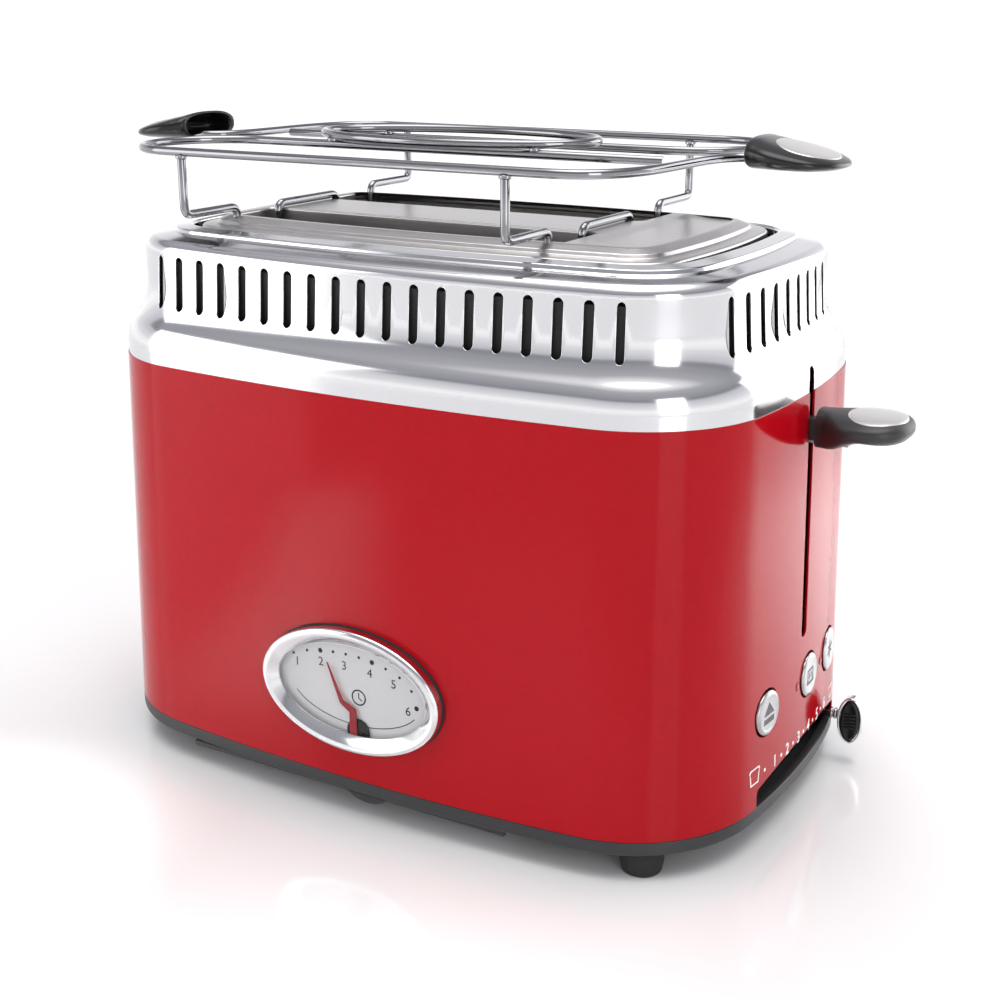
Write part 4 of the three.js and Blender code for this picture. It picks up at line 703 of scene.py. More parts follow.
def plate_of(loops, low, high, axis="z", edge=0.3):
    """A flat plate cut to closed loops, raised along an axis, with its outer and inner edges eased."""
    stack, all_faces, shifts, start = [], [], [], 0
    area = [(p[:, 0] * np.roll(p[:, 1], -1) - np.roll(p[:, 0], -1) * p[:, 1]).sum() for p in loops]
    for k, (loop, size) in enumerate(zip(loops, area)):
        along = np.roll(loop, -1, axis=0) - np.roll(loop, 1, axis=0)
        along /= np.linalg.norm(along, axis=1)[:, None]
        side = np.column_stack([-along[:, 1], along[:, 0]]) * math.copysign(edge, size)
        shifts.append(loop + (side if k == 0 else -side))
    top, top_faces = triangles(shifts)
    for z, flip in ((high, False), (low, True)):
        stack.append(np.column_stack([top, np.full(len(top), z)]))
        all_faces += [[start + i for i in (f[::-1] if flip else f)] for f in top_faces]
        start += len(top)
    for k, (loop, eased, size) in enumerate(zip(loops, shifts, area)):
        n = len(loop)
        for ring, z in ((eased, low), (loop, low + edge), (loop, high - edge), (eased, high)):
            stack.append(np.column_stack([ring, np.full(n, z)]))
        forward = (size > 0) == (k == 0)
        for row in range(3):
            a, b = start + row * n, start + (row + 1) * n
            for i in range(n):
                quad = [a + i, a + (i + 1) % n, b + (i + 1) % n, b + i]
                all_faces.append(quad if forward else quad[::-1])
        start += 4 * n
    points = np.vstack(stack)
    if axis == "y":
        points = points[:, [0, 2, 1]]
        all_faces = [f[::-1] for f in all_faces]
    return points, all_faces


def eased_box(x, y, z, edge=0.4, corner=1.0):
    """A block between pairs of places, with rounded upright edges and eased top and bottom."""
    corner = min(corner, (x[1] - x[0]) / 2.05, (y[1] - y[0]) / 2.05)
    return plate_of([rounded_box(x[0], x[1], y[0], y[1], corner, 3)], z[0], z[1],
                    edge=min(edge, (z[1] - z[0]) / 3, corner * 0.6))


floor_spot, floor_normal = plan.at(np.linspace(0, plan.total, 160, endpoint=False))
floor_loop = floor_spot - floor_normal * (1.5 - wrap_flare)
crumb_opening = rounded_box(-78, 58, -68, 66, 4, 4)
outside, upstand_foot = -wrap_flare, strip_top - 3.4
parts = [
    round_the_plan([(outside + 1.6, base_foot, 0.5), (outside, base_foot, 1.5), (outside, strip_top, 0.5),
                    (outside + 3.5, strip_top, 0.5), (outside + 3.5, base_foot + 0.6, 0.3)]),
    round_the_plan([(-1.6, upstand_foot, 0.3), (-2.8, upstand_foot, 0.3), (-2.8, strip_top + 0.1, 0.1)]),
    plate_of([floor_loop, crumb_opening], base_foot, floor_top),
]
# Two hooked rails below the floor carry the crumb tray.
rail_y, rail_overhang, rail_wall = (-80, 72), 3, 2.4
for edge, way in ((-84.6, -1), (64.6, 1)):
    wall = sorted((edge, edge + way * rail_wall))
    hook = sorted((edge - way * rail_overhang, edge + way * rail_wall))
    parts.append(eased_box(wall, rail_y, (5.8, 11.2), 0.3, 0.5))
    parts.append(eased_box(hook, rail_y, (5.6, 6.6), 0.2, 0.5))
# Two posts hold the control board, and ribs stiffen the floor beside it.
for y in (-48, 44):
    parts.append(eased_box((126.4, 131.3), (y, y + 8), (11.3, 21.7)))
for y in np.arange(-60, 61, 12):
    if abs(y) > 8:
        parts.append(eased_box((70, 118), (y - 0.8, y + 0.8), (floor_top - 0.4, floor_top + 5), 0.3, 0.7))
make_piece("base_moulding", parts, moulded_black, "housing", "black_plastic", "base")


# Feet: four turned buttons of black rubber, each held by a screw that sits deep in its middle.
# The rubber is matt and a little dusty.
rubber = finish("black_rubber", "#1B1B1C", 1.2, 0.03, tones=("#161617", "#232324"), wear=(0.7, 0.9),
                roughness=0.8, ior=1.52)


def turned(corners, centre=(0, 0, 0), axis="z", count=48):
    """A turned body: corners are (radius, height, rounding) from one end of its axis to the other."""
    t = full_turn(count)
    rings = [np.column_stack([r * np.cos(t), r * np.sin(t), np.full(count, z)])
             for r, z in Section(corners).points]
    points, faces = lofted(rings, capped=False)
    order = {"z": [0, 1, 2], "x": [2, 0, 1], "y": [1, 2, 0]}[axis]
    return points[:, order] + np.array(centre), faces


for name, x, y in (("front_right", 112, -75), ("back_right", 112, 75), ("front_left", -105, -58),
                   ("back_left", -105, 58)):
    body = turned([(0, 3.4), (3.2, 3.4, 0.3), (3.2, 0, 0.8), (7.4, 0, 1.2), (8.2, 4.6, 0.6), (8.2, 9.7, 0.3),
                   (0, 9.7)], (x, y, 0))
    make_piece("foot_" + name + "_rubber", [body], rubber, "housing", "foot_rubber", "foot_" + name)


# Crumb tray: a shallow pan of galvanised sheet with turned-up edges and low ribs. It slides out at the front
# by a black moulded bar along its edge, which carries a rounded finger pull.
# Hot-dip zinc shows a cloudy spangle of soft grey patches.
zinc = finish("galvanised_steel", "#A9ABAD", 5, 0.004, tones=("#96989A", "#BCBEC0"), wear=(0.35, 0.55),
              detail=3.0, metallic=1.0, roughness=0.45)
pan_x, pan_y = (-84, 64), (-90, 72)
tray_parts = [eased_box(pan_x, pan_y, (7.2, 8.0), 0.2, 2)]
for x, y in (((-84, -83), pan_y), ((63, 64), pan_y), (pan_x, (-90, -89)), (pan_x, (71, 72))):
    tray_parts.append(eased_box(x, y, (7.4, 9.4), 0.2, 0.4))
for x in (-58, -34, -10, 14, 38):
    tray_parts.append(eased_box((x - 4, x + 4), (-74, 60), (7.9, 8.5), 0.3, 3.5))
make_piece("crumb_pan", tray_parts, zinc, "crumb_drawer", "zinc_sheet", "crumb_tray")
pull_middle, pull_centre, pull_radius = 4, 20.4, 15
# The finger pull is the lowest part of a disc.
a = np.radians(np.linspace(228, 312, 25))
pull = np.column_stack([pull_middle + pull_radius * np.cos(a), pull_centre + pull_radius * np.sin(a)])
pull_bar = eased_box(pan_x, (-92.3, -89.9), (7.2, 9.4), 0.3, 0.6)
make_piece("crumb_pull", [plate_of([pull], -94.45, -92.25, "y", 0.5), pull_bar], moulded_black,
           "crumb_drawer", "black_plastic")


# Gauge: an oval instrument let into the front. A chromed bezel with a hollow cone inside holds a domed clear
# lens over a white printed face; the red hand turns on a shaft from a small motor behind.
gauge_front, pivot = -100.15, 35.2
oval_turn = full_turn(160)


def gauge_oval(half_width, half_height, behind):
    """An oval about the middle of the gauge, so far behind its front."""
    return np.column_stack([half_width * np.cos(oval_turn), np.full(160, gauge_front + behind),
                            gauge_height + half_height * np.sin(oval_turn)])


def oval_ring(corners):
    """An oval ring whose section is given as (inset from the gauge's outline, depth behind its front)."""
    rings = [gauge_oval(gauge_half_width - inset, gauge_half_height - inset, behind)
             for inset, behind in Section(corners).points]
    return lofted(rings[::-1], closed=True)


bezel = oval_ring([(0, 6.4, 0.2), (0, 0.9, 1.4), (1.55, 0, 0.9), (3.1, 0.4, 0.7), (6.8, 3.2, 0.3),
                   (6.2, 3.8, 0.2), (2.1, 3.8, 0.3), (2.1, 6.4, 0.2)])
make_piece("gauge_bezel_chrome", [bezel], chrome, "housing", "polished_chrome", "gauge_bezel")
gasket = oval_ring([(-0.45, 4.6, 0.2), (-0.45, 6.1), (0.2, 6.1), (0.2, 4.6, 0.1)])
make_piece("gauge_gasket", [gasket], rubber, "housing", "black_plastic")
# Aluminium sheet sprayed white: a very fine tooth of 0.3 mm.
dial_white = finish("printed_white_dial", "#F0F0F2", 0.3, 0.002, tones=("#ECECEE", "#F4F4F6"),
                    wear=(0.45, 0.55), roughness=0.5, ior=1.5)
face_plane = gauge_front + 5.4
face_half_width, face_half_height, shaft_radius = 37.8, 22.4, 1.2
face_loop = np.column_stack(oval(face_half_width, face_half_height, 0, gauge_height, 160))
shaft_loop = np.column_stack(oval(shaft_radius, shaft_radius, 0, pivot, 160))[::8]
make_piece("gauge_face_plate", [plate_of([face_loop, shaft_loop], face_plane, face_plane + 1, "y", 0.15)],
           dial_white, "housing", "white_face", "gauge_face")

# Print: numbers and marks in screen ink, 0.03 mm thick on the real dial. It dries nearly matt.
ink = {}
for colour, tone in (("black", "#151517"), ("grey", "#48484A"), ("white", "#F2F0EE")):
    paler = "#" + "".join("%02X" % min(255, round(int(tone[i:i + 2], 16) * 1.12 + 4)) for i in (1, 3, 5))
    ink[colour] = finish(colour + "_screen_ink", tone, 0.25, 0.003, tones=(tone, paler), roughness=0.5,
                         ior=1.5)


def lettering(text, tall, x, y, bold=0.0):
    """Flat points and faces of a number, tall millimetres high, about its middle."""
    curve = bpy.data.curves.new("print", "FONT")
    curve.body, curve.size, curve.align_x, curve.align_y = text, tall * 1.37, "CENTER", "CENTER"
    curve.resolution_u = 4
    curve.offset = bold
    holder = bpy.data.objects.new("print", curve)
    mesh = bpy.data.meshes.new_from_object(holder)
    points = np.array([v.co[:2] for v in mesh.vertices]).reshape(-1, 2)
    faces = [list(p.vertices) for p in mesh.polygons]
    bpy.data.objects.remove(holder)
    bpy.data.curves.remove(curve)
    bpy.data.meshes.remove(mesh)
    points -= (points.min(0) + points.max(0)) / 2
    return points + np.array([x, y]), faces


def disc(x, y, radius, count=20):
    return np.column_stack(oval(radius, radius, x, y, count))


def stroke(points, width):
    """The outline of a line of even width through flat points."""
    points = np.array(points, float)
    along = np.gradient(points, axis=0)
    side = np.column_stack([-along[:, 1], along[:, 0]])
    side *= width / 2 / np.linalg.norm(side, axis=1)[:, None]
    return np.vstack([points + side, (points - side)[::-1]])


def printed(marks, surface):
    """Solid marks, 0.05 mm proud, from flat points and faces; surface maps points and a rise to places."""
    parts = []
    for points, faces in marks:
        points, n = np.asarray(points, float), len(points)
        edges = dict.fromkeys((f[i], f[(i + 1) % len(f)]) for f in faces for i in range(len(f)))
        rim = [(i, j) for i, j in edges if (j, i) not in edges]
        low, high = surface(points, -0.02), surface(points, 0.05)
        solid = [list(f) for f in faces] + [[i + n for i in f][::-1] for f in faces]
        solid += [[j, i, i + n, j + n] for i, j in rim]
        parts.append((np.vstack([high, low]), solid))
    return parts


def on_face(points, rise):
    return np.column_stack([points[:, 0], np.full(len(points), face_plane - rise), points[:, 1]])


numerals = [(-26.4, 58.9), (-15.1, 61.2), (-4.3, 61.7), (7.4, 61.2), (18.1, 59.1), (24.4, 49.6)]
marks = [lettering(str(k + 1), 3.7, x, z) for k, (x, z) in enumerate(numerals)]
dots = [(-28.0, 61.9), (-21.5, 64.3), (-15.2, 65.6), (-9.2, 66.3), (-3.3, 66.6), (2.7, 66.5), (8.6, 65.8),
        (14.8, 64.6), (20.9, 62.4), (26.1, 58.1), (28.2, 51.6)]
marks += [triangles([disc(x, z, 1.0 if k % 4 == 2 else 0.6)]) for k, (x, z) in enumerate(dots)]
clock_x, clock_z = 2.1, 49.9
marks.append(triangles([disc(clock_x, clock_z, 3.3, 40), disc(clock_x, clock_z, 2.7, 40)]))
clock_hands = [(clock_x, clock_z + 2.0), (clock_x, clock_z - 0.2), (clock_x + 1.5, clock_z - 1.1)]
marks.append(triangles([stroke(clock_hands, 0.5)]))
# A fine arc closes the dial below.
arc = [(30 * math.cos(a), gauge_height + 15.2 * math.sin(a)) for a in np.radians(np.linspace(205, 335, 40))]
marks.append(triangles([stroke(arc, 0.35)]))
make_piece("dial_numbers", printed(marks, on_face), ink["black"], "housing", "black_gloss")

# The hand is red painted sheet. A glossy black disc covers the foot of its shaft, cut off by the bezel below.
hand_half = 1.6
blade = [(-hand_half, -1.6), (hand_half, -1.6), (hand_half, 9.6), (0.9, 10.4), (-4.35, 12.65), (-11.1, 26.9),
         (-11.6, 26.8), (-6.1, 11.8), (-5.5, 10.9), (-hand_half, 8.3)]
blade = np.array([(x, z + pivot) for x, z in blade])
hand_plane = gauge_front + 4.0
red_paint = finish("red_hand_paint", "#A8101F", 0.6, 0.003, tones=("#A00E1C", "#B11423"), wear=(0.3, 0.42),
                   roughness=0.35, ior=1.5)
make_piece("gauge_hand_red", [
    plate_of([blade], hand_plane, hand_plane + 0.4, "y", 0.1),
    turned([(0, -0.2), (1.2, -0.2, 0.2), (1.7, 0, 0.1), (1.7, 0.4, 0.1), (0, 0.4)],
           (0, hand_plane, pivot), "y"),
], red_paint, "hand", "red_hand", "gauge_hand")
# Polished mould: almost smooth, with a very slight flow waviness of 6 mm.
gloss_black = finish("gloss_black_abs", "#1C1C1E", 6, 0.006, tones=("#121213", "#191919"), wear=(0.14, 0.26),
                     roughness=0.18, ior=1.53, specular_ior_level=0.35)
cover_plane = gauge_front + 4.7
cover_loop = disc(1.9, pivot + 0.8, 5.2, 60)
face_edge = gauge_height - 22 * np.sqrt(1 - (cover_loop[:, 0] / 37.4) ** 2)
cover_loop[:, 1] = np.maximum(cover_loop[:, 1], face_edge)
cover_disc = plate_of([cover_loop, disc(0, pivot, 1.25, 16)], cover_plane, cover_plane + 0.4, "y", 0.1)
make_piece("gauge_hub_disc", [cover_disc], gloss_black, "housing", "black_gloss", "gauge_hub_cover")

# Moulded lens: thin clear acrylic, highest in its middle, with faint flow lines about 12 mm apart.
clear = finish("clear_acrylic", "#2A2C2E", 12, 0.002, wear=(0.0, 0.03), roughness=0.03, ior=1.49, alpha=0.12)
lens_half_width, lens_half_height, lens_edge, lens_thick = 33.6, 18.2, 2.5, 0.9
lens_front = [(share, lens_edge - bulge * 0.75) for share, bulge in (
    (1, 0), (0.97, 0.35), (0.9, 0.75), (0.78, 1.05), (0.6, 1.3), (0.4, 1.45), (0.2, 1.52))]
lens_back = [(share, behind + lens_thick if share < 1 else 2.8) for share, behind in lens_front]
lens = lofted([gauge_oval(lens_half_width * share, lens_half_height * share, behind)
               for share, behind in lens_front[::-1] + lens_back])
make_piece("gauge_lens_dome", [lens], clear, "housing", "clear_lens", "gauge_lens")
dress(moulded_black, "gauge_housing", "gauge_motor")


# Push buttons: plated ABS caps, dished a little and tilted to the slope of the wall, each on a stem to its
# switch. Their signs are printed in grey. Two small red lenses sit between them.
# Vacuum plating over the moulding: nearly a mirror, with a haze in patches of 4 mm.
bright_silver = finish("bright_silver_plate", "#ABABAD", 4, 0.003, tones=("#A4A4A6", "#B2B2B4"),
                       wear=(0.16, 0.24), metallic=1.0, roughness=0.2)


def end_wall(y, z, way=1):
    """Place of the outer wall at the lever end (way 1) or at the other end (way -1)."""
    y, z = np.asarray(y, float), np.asarray(z, float)
    return way * (half_length - end_radius + np.sqrt((end_radius - wrap_inset(z)) ** 2 - y * y))


signs = {
    "front": [
        np.array([(-3.6, -0.4), (3.6, -0.4), (0, 3.9)]),
        np.array([(-3.6, -3.4), (3.6, -3.4), (3.6, -1.5), (-3.6, -1.5)]),
    ],
    "middle": [
        stroke([(-2.6, -2.4), (-2.6, 2.0), (2.6, 2.0), (2.6, -2.4)], 0.9),
        stroke([(-3.4, -2.7), (3.4, -2.7)], 0.9),
        stroke([(-0.9, 0.9), (-0.9, -1.4)], 0.7),
        stroke([(0.9, 0.9), (0.9, -1.4)], 0.7),
    ],
    "back": [
        stroke([(3.2 * math.cos(a), 3.2 * math.sin(a)), (-3.2 * math.cos(a), -3.2 * math.sin(a))], 0.7)
        for a in np.radians((30, 90, 150))
    ],
}
cap_radius, cap_proud, dish = 8.6, 1.2, 0.28
for (name, loops), y in zip(signs.items(), button_places):
    wall = float(end_wall(y, button_height))
    face = wall + cap_proud
    lean = np.array([(wall - float(end_wall(y + 1, button_height))), wrap_flare / (seam_height - wrap_foot)])
    points, faces = turned([
        (0, 135.5), (3, 135.5, 0.3), (3, face - 6), (8.2, face - 6, 0.3), (cap_radius, face - 5.6, 0.3),
        (cap_radius, face - 0.5, 0.7), (7.2, face, 0.8), (6.5, face - dish, 1.2), (0, face - dish),
    ], (0, y, button_height), "x")
    points[:, 0] -= (points[:, 1:] - (y, button_height)) @ lean
    make_piece("button_" + name + "_cap", [(points, faces)], bright_silver, name + "_button", "brushed",
               "button_" + name)

    def on_cap(points, rise, y=y, face=face, lean=lean):
        return np.column_stack([face - dish + rise - points @ lean, points[:, 0] + y,
                                points[:, 1] + button_height])
    marks = [triangles([loop * 1.12]) for loop in loops]
    make_piece("button_" + name + "_sign", printed(marks, on_cap), ink["grey"], name + "_button",
               "black_gloss")
# Tinted polycarbonate with a fine inner pattern. A faint painted glow (emission) stands in for light inside
# it, since no lamp is there.
red_lens = finish("red_lamp_lens_painted_glow", "#8E0A12", 0.7, 0.01, tones=("#7C070E", "#9C0C15"), roughness=0.12,
                  ior=1.5, emission_color=shade("#A00810"), emission_strength=0.05)
for name, y in zip(("front", "back"), light_places):
    tip = float(end_wall(y, light_height)) + 0.4
    lens = turned([(0, 130), (1.6, 130, 0.2), (1.6, tip - 0.5, 0.5), (1.0, tip, 0.6), (0, tip)],
                  (0, y, light_height), "x", 24)
    make_piece("light_" + name + "_lens", [lens], red_lens, "housing", "red_lens", "light_" + name)


# Browning scale: white screen print on the enamel above the notch, with a slice of bread at each end. Six
# digits with a dot before each follow the curve of the wall.
def on_end(points, rise):
    spot, facing = on_wrap(end_walk(points[:, 0], points[:, 1]), points[:, 1])
    return spot + facing * rise


def slice_sign(y, z, half, tall, line):
    """A slice of bread seen from the front: a loaf's outline with two round shoulders, drawn as a line."""
    loops = []
    for grow in (0, -line):
        w, low, high = half + grow, z - tall / 2 - grow, z + tall / 2 + grow
        r = half * 0.34
        top = [(y + w + 0.5 + r * math.cos(a) - r * 0.6, high - r + r * math.sin(a))
               for a in np.radians(range(-50, 100, 15))]
        left = [(2 * y - p, q) for p, q in top[::-1]]
        loops.append(np.array([(y - w, low), (y + w, low), *top, *left]))
    return loops


marks = [triangles(slice_sign(-42, 29.6, 3.0, 6.6, 0.55)), triangles(slice_sign(44, 29.6, 2.4, 5.4, 0.5))]
first_digit, digit_pitch, digit_height = -25.4, 11.6, 5.0
for k in range(6):
    y = first_digit + digit_pitch * k
    marks.append(lettering(str(k + 1), digit_height, y, 29.2, 0.06))
    marks.append(triangles([disc(y - digit_pitch / 2 if k else -34.0, 29.0, 0.75)]))
make_piece("browning_scale", printed(marks, on_end), ink["white"], "housing", "white_face")


# Browning control: an upright oval black grip with cross ridges, in a chromed ring, which faces along the end
# of the toaster. Its bright stem slides along the notch and moves a slide potentiometer on the base.
grip_middle, grip_y, grip_height = 150.35, 45, 18.3
grip_half_width, grip_half_height = 5.3, 10.2


def grip_oval(corners, closed=False):
    """An upright oval body that faces along Y: corners are (inset from its outline, distance along Y)."""
    section = Section(corners)
    a = full_turn(72)
    rings = [np.column_stack([grip_middle + (grip_half_width - r) * np.cos(a), np.full(72, grip_y + y),
                              grip_height + (grip_half_height - r) * np.sin(a)]) for r, y in section.points]
    return lofted(rings, closed=closed)


ridges = []
for z in grip_height + 1.5 * np.arange(-2, 3):
    ridges.append(eased_box((grip_middle - 2.6, grip_middle + 2.6), (grip_y - 2.75, grip_y + 2.75),
                            (z - 0.3, z + 0.3), 0.1, 0.5))
make_piece("browning_knob_black", [
    grip_oval([(3.4, -2.35), (2.2, -2.6, 0.6), (1.2, -2.1, 0.5), (1.2, 2.1, 0.5), (2.2, 2.6, 0.6),
               (3.4, 2.35)]),
    *ridges,
], gloss_black, "browning_control", "black_gloss", "browning_knob")
make_piece("browning_knob_rim", [
    grip_oval([(0.9, -2.2, 0.1), (0.4, -2.3, 0.2), (0, -1.9, 0.3), (0, 1.9, 0.3), (0.4, 2.3, 0.2),
               (0.9, 2.2, 0.1)], closed=True),
], chrome, "browning_control", "polished_chrome", "browning_rim")
make_piece("browning_stem_moulding", [
    eased_box((134.2, 144.7), (43.5, 46.5), (18.2, 20.8), 0.3, 0.6),
    turned([(1.3, 0), (2.4, 0.4, 0.5), (2.4, 1.3, 0.5), (1.5, 1.7, 0.2), (2.4, 2.1, 0.5), (2.4, 3.0, 0.5),
            (1.3, 3.4)], (141.4, grip_y, 19.5), "x", 24),
], bright_silver, "browning_control", "black_gloss", "browning_stem")
dress(moulded_black, "browning_pot")


# Lever: a zinc-plated steel arm comes through the slot and carries a moulded black paddle, with an oval
# silver inset pressed into its top.
def superoval(half_y, half_z, y, z, x, power, count=56):
    """An oblong with round corners, square to X; a higher power makes it squarer."""
    a = full_turn(count)
    c, s = np.cos(a), np.sin(a)
    return np.column_stack([np.full(count, x), y + half_y * np.sign(c) * np.abs(c) ** (2 / power),
                            z + half_z * np.sign(s) * np.abs(s) ** (2 / power)])


# The nose of a paddle is this share of its half width long, and this power makes it rounder than an ellipse.
blunt, nose_power = 0.86, 2.3


def paddle_width(x, root, tip, half, neck):
    """Half width of a paddle at x: it swells from its neck and ends in a round nose."""
    nose = tip - half * blunt
    if x >= nose:
        return half * max(1 - ((x - nose) / (tip - nose)) ** nose_power, 0) ** (1 / nose_power)
    s = np.linspace(0, 1, 200)
    third = root + (nose - root) / 3
    along = root * (1 - s) ** 3 + 3 * third * (1 - s) ** 2 * s + 3 * third * (1 - s) * s ** 2 + nose * s ** 3
    wide = neck * ((1 - s) ** 3 + 3 * (1 - s) ** 2 * s) + half * (3 * (1 - s) * s ** 2 + s ** 3)
    return float(np.interp(x, along, wide))


class Paddle:
    """A smooth moulded grip: its plan is a paddle and its sections are rounded oblongs."""

    def __init__(self, root, tip, half, neck, top, low, power):
        self.root, self.tip, self.half, self.neck = root, tip, half, neck
        self.top, self.low, self.power = top, low, power

    def section(self, x):
        """Half width, half height and middle height at x; the nose thins to a round edge."""
        wide = max(paddle_width(x, self.root, self.tip, self.half, self.neck), 0.02)
        nose = self.tip - self.half * blunt
        thin = 1 if x <= nose else max(1 - ((x - nose) / (self.tip - nose)) ** 4, 0.0004) ** 0.45
        middle = (self.top(x) + self.low(x)) / 2
        return wide, (self.top(x) - self.low(x)) / 2 * thin, middle

    def rings(self, stations):
        return [superoval(w, h, 0, m, x, self.power) for x in stations for w, h, m in [self.section(x)]]

    def top_at(self, x, y):
        w, h, m = self.section(x)
        return m + h * (1 - min(abs(y) / w, 1) ** self.power) ** (1 / self.power)


def stations(root, tip, count=34):
    """Places along a grip, closer together towards its tip."""
    s = np.linspace(0, 1, count)
    return root + (tip - root) * np.sin(s * math.pi / 2) ** 0.9


def inset_on(grip, x_middle, half_x, half_y, proud):
    """An oval inset that follows the top of a grip, sits in it and stands proud of it."""
    a = full_turn(64)
    rings = []
    for share, rise in ((1, -0.8), (1, proud - 0.25), (0.985, proud - 0.07), (0.95, proud), (0.8, proud),
                        (0.55, proud), (0.3, proud), (0.08, proud)):
        x, y = x_middle + half_x * share * np.cos(a), half_y * share * np.sin(a)
        z = [grip.top_at(p, q) + rise for p, q in zip(x, y)]
        rings.append(np.column_stack([x, y, z]))
    return lofted(rings)


under_neck, under_tip, rise_start, rise_length = 145.7, 151.2, 147, 16


def knob_low(x):
    """The underside of the lever knob, which rises smoothly towards its tip."""
    s = min(max((x - rise_start) / rise_length, 0), 1)
    return under_neck + (under_tip - under_neck) * s * s * (3 - 2 * s)


# Metallic lacquer: satin, with flake about 0.2 mm across that sparkles softly.
pale_silver = finish("pale_silver_paint", "#D0CDCB", 0.2, 0.002, tones=("#CAC7C5", "#D6D3D1"),
                     wear=(0.26, 0.36), metallic=0.6, roughness=0.3)
lever_root, lever_tip = 143.6, 177.3
lever_grip = Paddle(lever_root, lever_tip, 16.5, 7, lambda x: 160.2, knob_low, 2.7)
sleeve = eased_box((134.8, 144.6), (-2.1, 2.1), (148.0, 156.4), 0.4, 0.6)
make_piece("lever_paddle", [lofted(lever_grip.rings(stations(lever_root, lever_tip))), sleeve],
           moulded_black, "carriage", "black_plastic", "lever_knob")
make_piece("lever_paddle_inset", [inset_on(lever_grip, 164.8, 10.4, 13.0, 0.35)], pale_silver, "carriage",
           "brushed", "lever_inset")
dress(zinc, "lever_arm")


# Warming rack: 3.3 mm chromed wire. Two hairpin rails and an oval are welded to two legs that hook into the
# bread slots, and a hollow black handle is pushed on the free end of each rail.
rack_middle, rack_height, wire_radius = -10.5, 246.7, 1.65


def tube(path, radius=wire_radius, closed=False, sides=18):
    """A round wire along a smooth path, with domed ends."""
    path = np.asarray(path, float)
    ahead = np.roll(path, -1, axis=0) - np.roll(path, 1, axis=0)
    if not closed:
        ahead[0], ahead[-1] = path[1] - path[0], path[-1] - path[-2]
    ahead /= np.linalg.norm(ahead, axis=1)[:, None]
    side = np.cross(ahead[0], (0, 0, 1))
    if np.linalg.norm(side) < 0.1:
        side = np.cross(ahead[0], (0, 1, 0))
    a = full_turn(sides)
    rings = []
    for k, (spot, way) in enumerate(zip(path, ahead)):
        side = side - way * (side @ way)
        side /= np.linalg.norm(side)
        up = np.cross(way, side)
        ring = np.outer(np.cos(a), side) + np.outer(np.sin(a), up)
        if closed or 0 < k < len(path) - 1:
            rings.append(spot + ring * radius)
            continue
        edge = spot + way * (0.4 if k == 0 else -0.4) + ring * radius
        dome = [spot + ring * radius * s for s in (0.5, 0.85)]
        rings += [*dome, edge] if k == 0 else [edge, *dome[::-1]]
    return lofted(rings, closed=closed)


def eased(points, radius, steps=7):
    """A route with its corners rounded."""
    points = [np.array(p, float) for p in points]
    route = [points[0]]
    for before, spot, after in zip(points, points[1:], points[2:]):
        into, onward = spot - before, after - spot
        room = min(radius, np.linalg.norm(into) / 2.01, np.linalg.norm(onward) / 2.01)
        start = spot - into / np.linalg.norm(into) * room
        end = spot + onward / np.linalg.norm(onward) * room
        for s in np.linspace(0, 1, steps):
            route.append(start * (1 - s) ** 2 + 2 * spot * s * (1 - s) + end * s * s)
    return route + [points[-1]]


def flowing(points, steps=5):
    """A smooth curve through flat points."""
    p = np.array(points, float)
    p = np.vstack([2 * p[0] - p[1], p, 2 * p[-1] - p[-2]])
    out = []
    for a, b, c, d in zip(p, p[1:], p[2:], p[3:]):
        for s in np.linspace(0, 1, steps, endpoint=False):
            square, cube = 2 * a - 5 * b + 4 * c - d, 3 * b - a - 3 * c + d
            out.append(0.5 * (2 * b + (c - a) * s + square * s ** 2 + cube * s ** 3))
    return out + [p[-2]]


# Drawn wire, plated after bending: fine draw marks and a little variation in its shine.
bright_wire = finish("chromed_wire", "#8E8E91", 2.2, 0.006, wear=(0.06, 0.16), metallic=1.0, roughness=0.1)
rail_place, inner_place, bend_end, inner_end = 77, 20, 109.5, 97.5
rail_end = [(76.5, -77), (86.5, -76.5), (95, -73), (101.5, -65.5), (105.5, -55), (107.5, -42), (108.5, -22),
            (109.5, -8), (112, 2), (117.5, 8), (128, 9), (149, 9)]
bend_radius = (rail_place - inner_place) / 2
bend_x, bend_y = bend_radius - bend_end, -(rail_place + inner_place) / 2
bend = [(bend_x - bend_radius * math.sin(a), bend_y + bend_radius * math.cos(a))
        for a in np.linspace(0, np.pi, 33)]
hairpin = [(inner_end, -inner_place), (40, -inner_place), *bend, (0, -rail_place), *flowing(rail_end)]


def weld(x, y, z, size=(2.5, 2.2, 1.3)):
    """A small flattened bead of weld metal."""
    rings = []
    for b in np.radians((-80, -50, -20, 20, 50, 80)):
        across, along = oval(size[0] * math.cos(b), size[1] * math.cos(b), x, y, 20)
        rings.append(np.column_stack([across, along, np.full(20, z + size[2] * math.sin(b))]))
    return lofted(rings)


legs, oval_welds = (-74.5, 66), (-45.8, 45.8)
oval_height = rack_height + 2 * wire_radius + 0.3
for name, way in (("front", 1), ("back", -1)):
    path = [(rack_middle + way * x, way * y, rack_height) for x, y in hairpin]
    welds = [weld(rack_middle + x, -way * rail_place, rack_height - wire_radius - 0.2) for x in legs]
    welds += [weld(rack_middle + x, -way * inner_place, (rack_height + oval_height) / 2, (2.4, 2.2, 1.2))
              for x in oval_welds]
    make_piece("rack_rail_" + name, [tube(path), *welds], bright_wire, "rack", "polished_chrome",
               "rack_wire_" + name)
oval_half_length, oval_half_width = 60, 31
loop = [(rack_middle + oval_half_length * math.cos(a), oval_half_width * math.sin(a), oval_height)
        for a in full_turn(120)]
make_piece("rack_oval_wire", [tube(loop, closed=True)], bright_wire, "rack", "polished_chrome", "rack_oval")
rest = crown + 0.3 + wire_radius
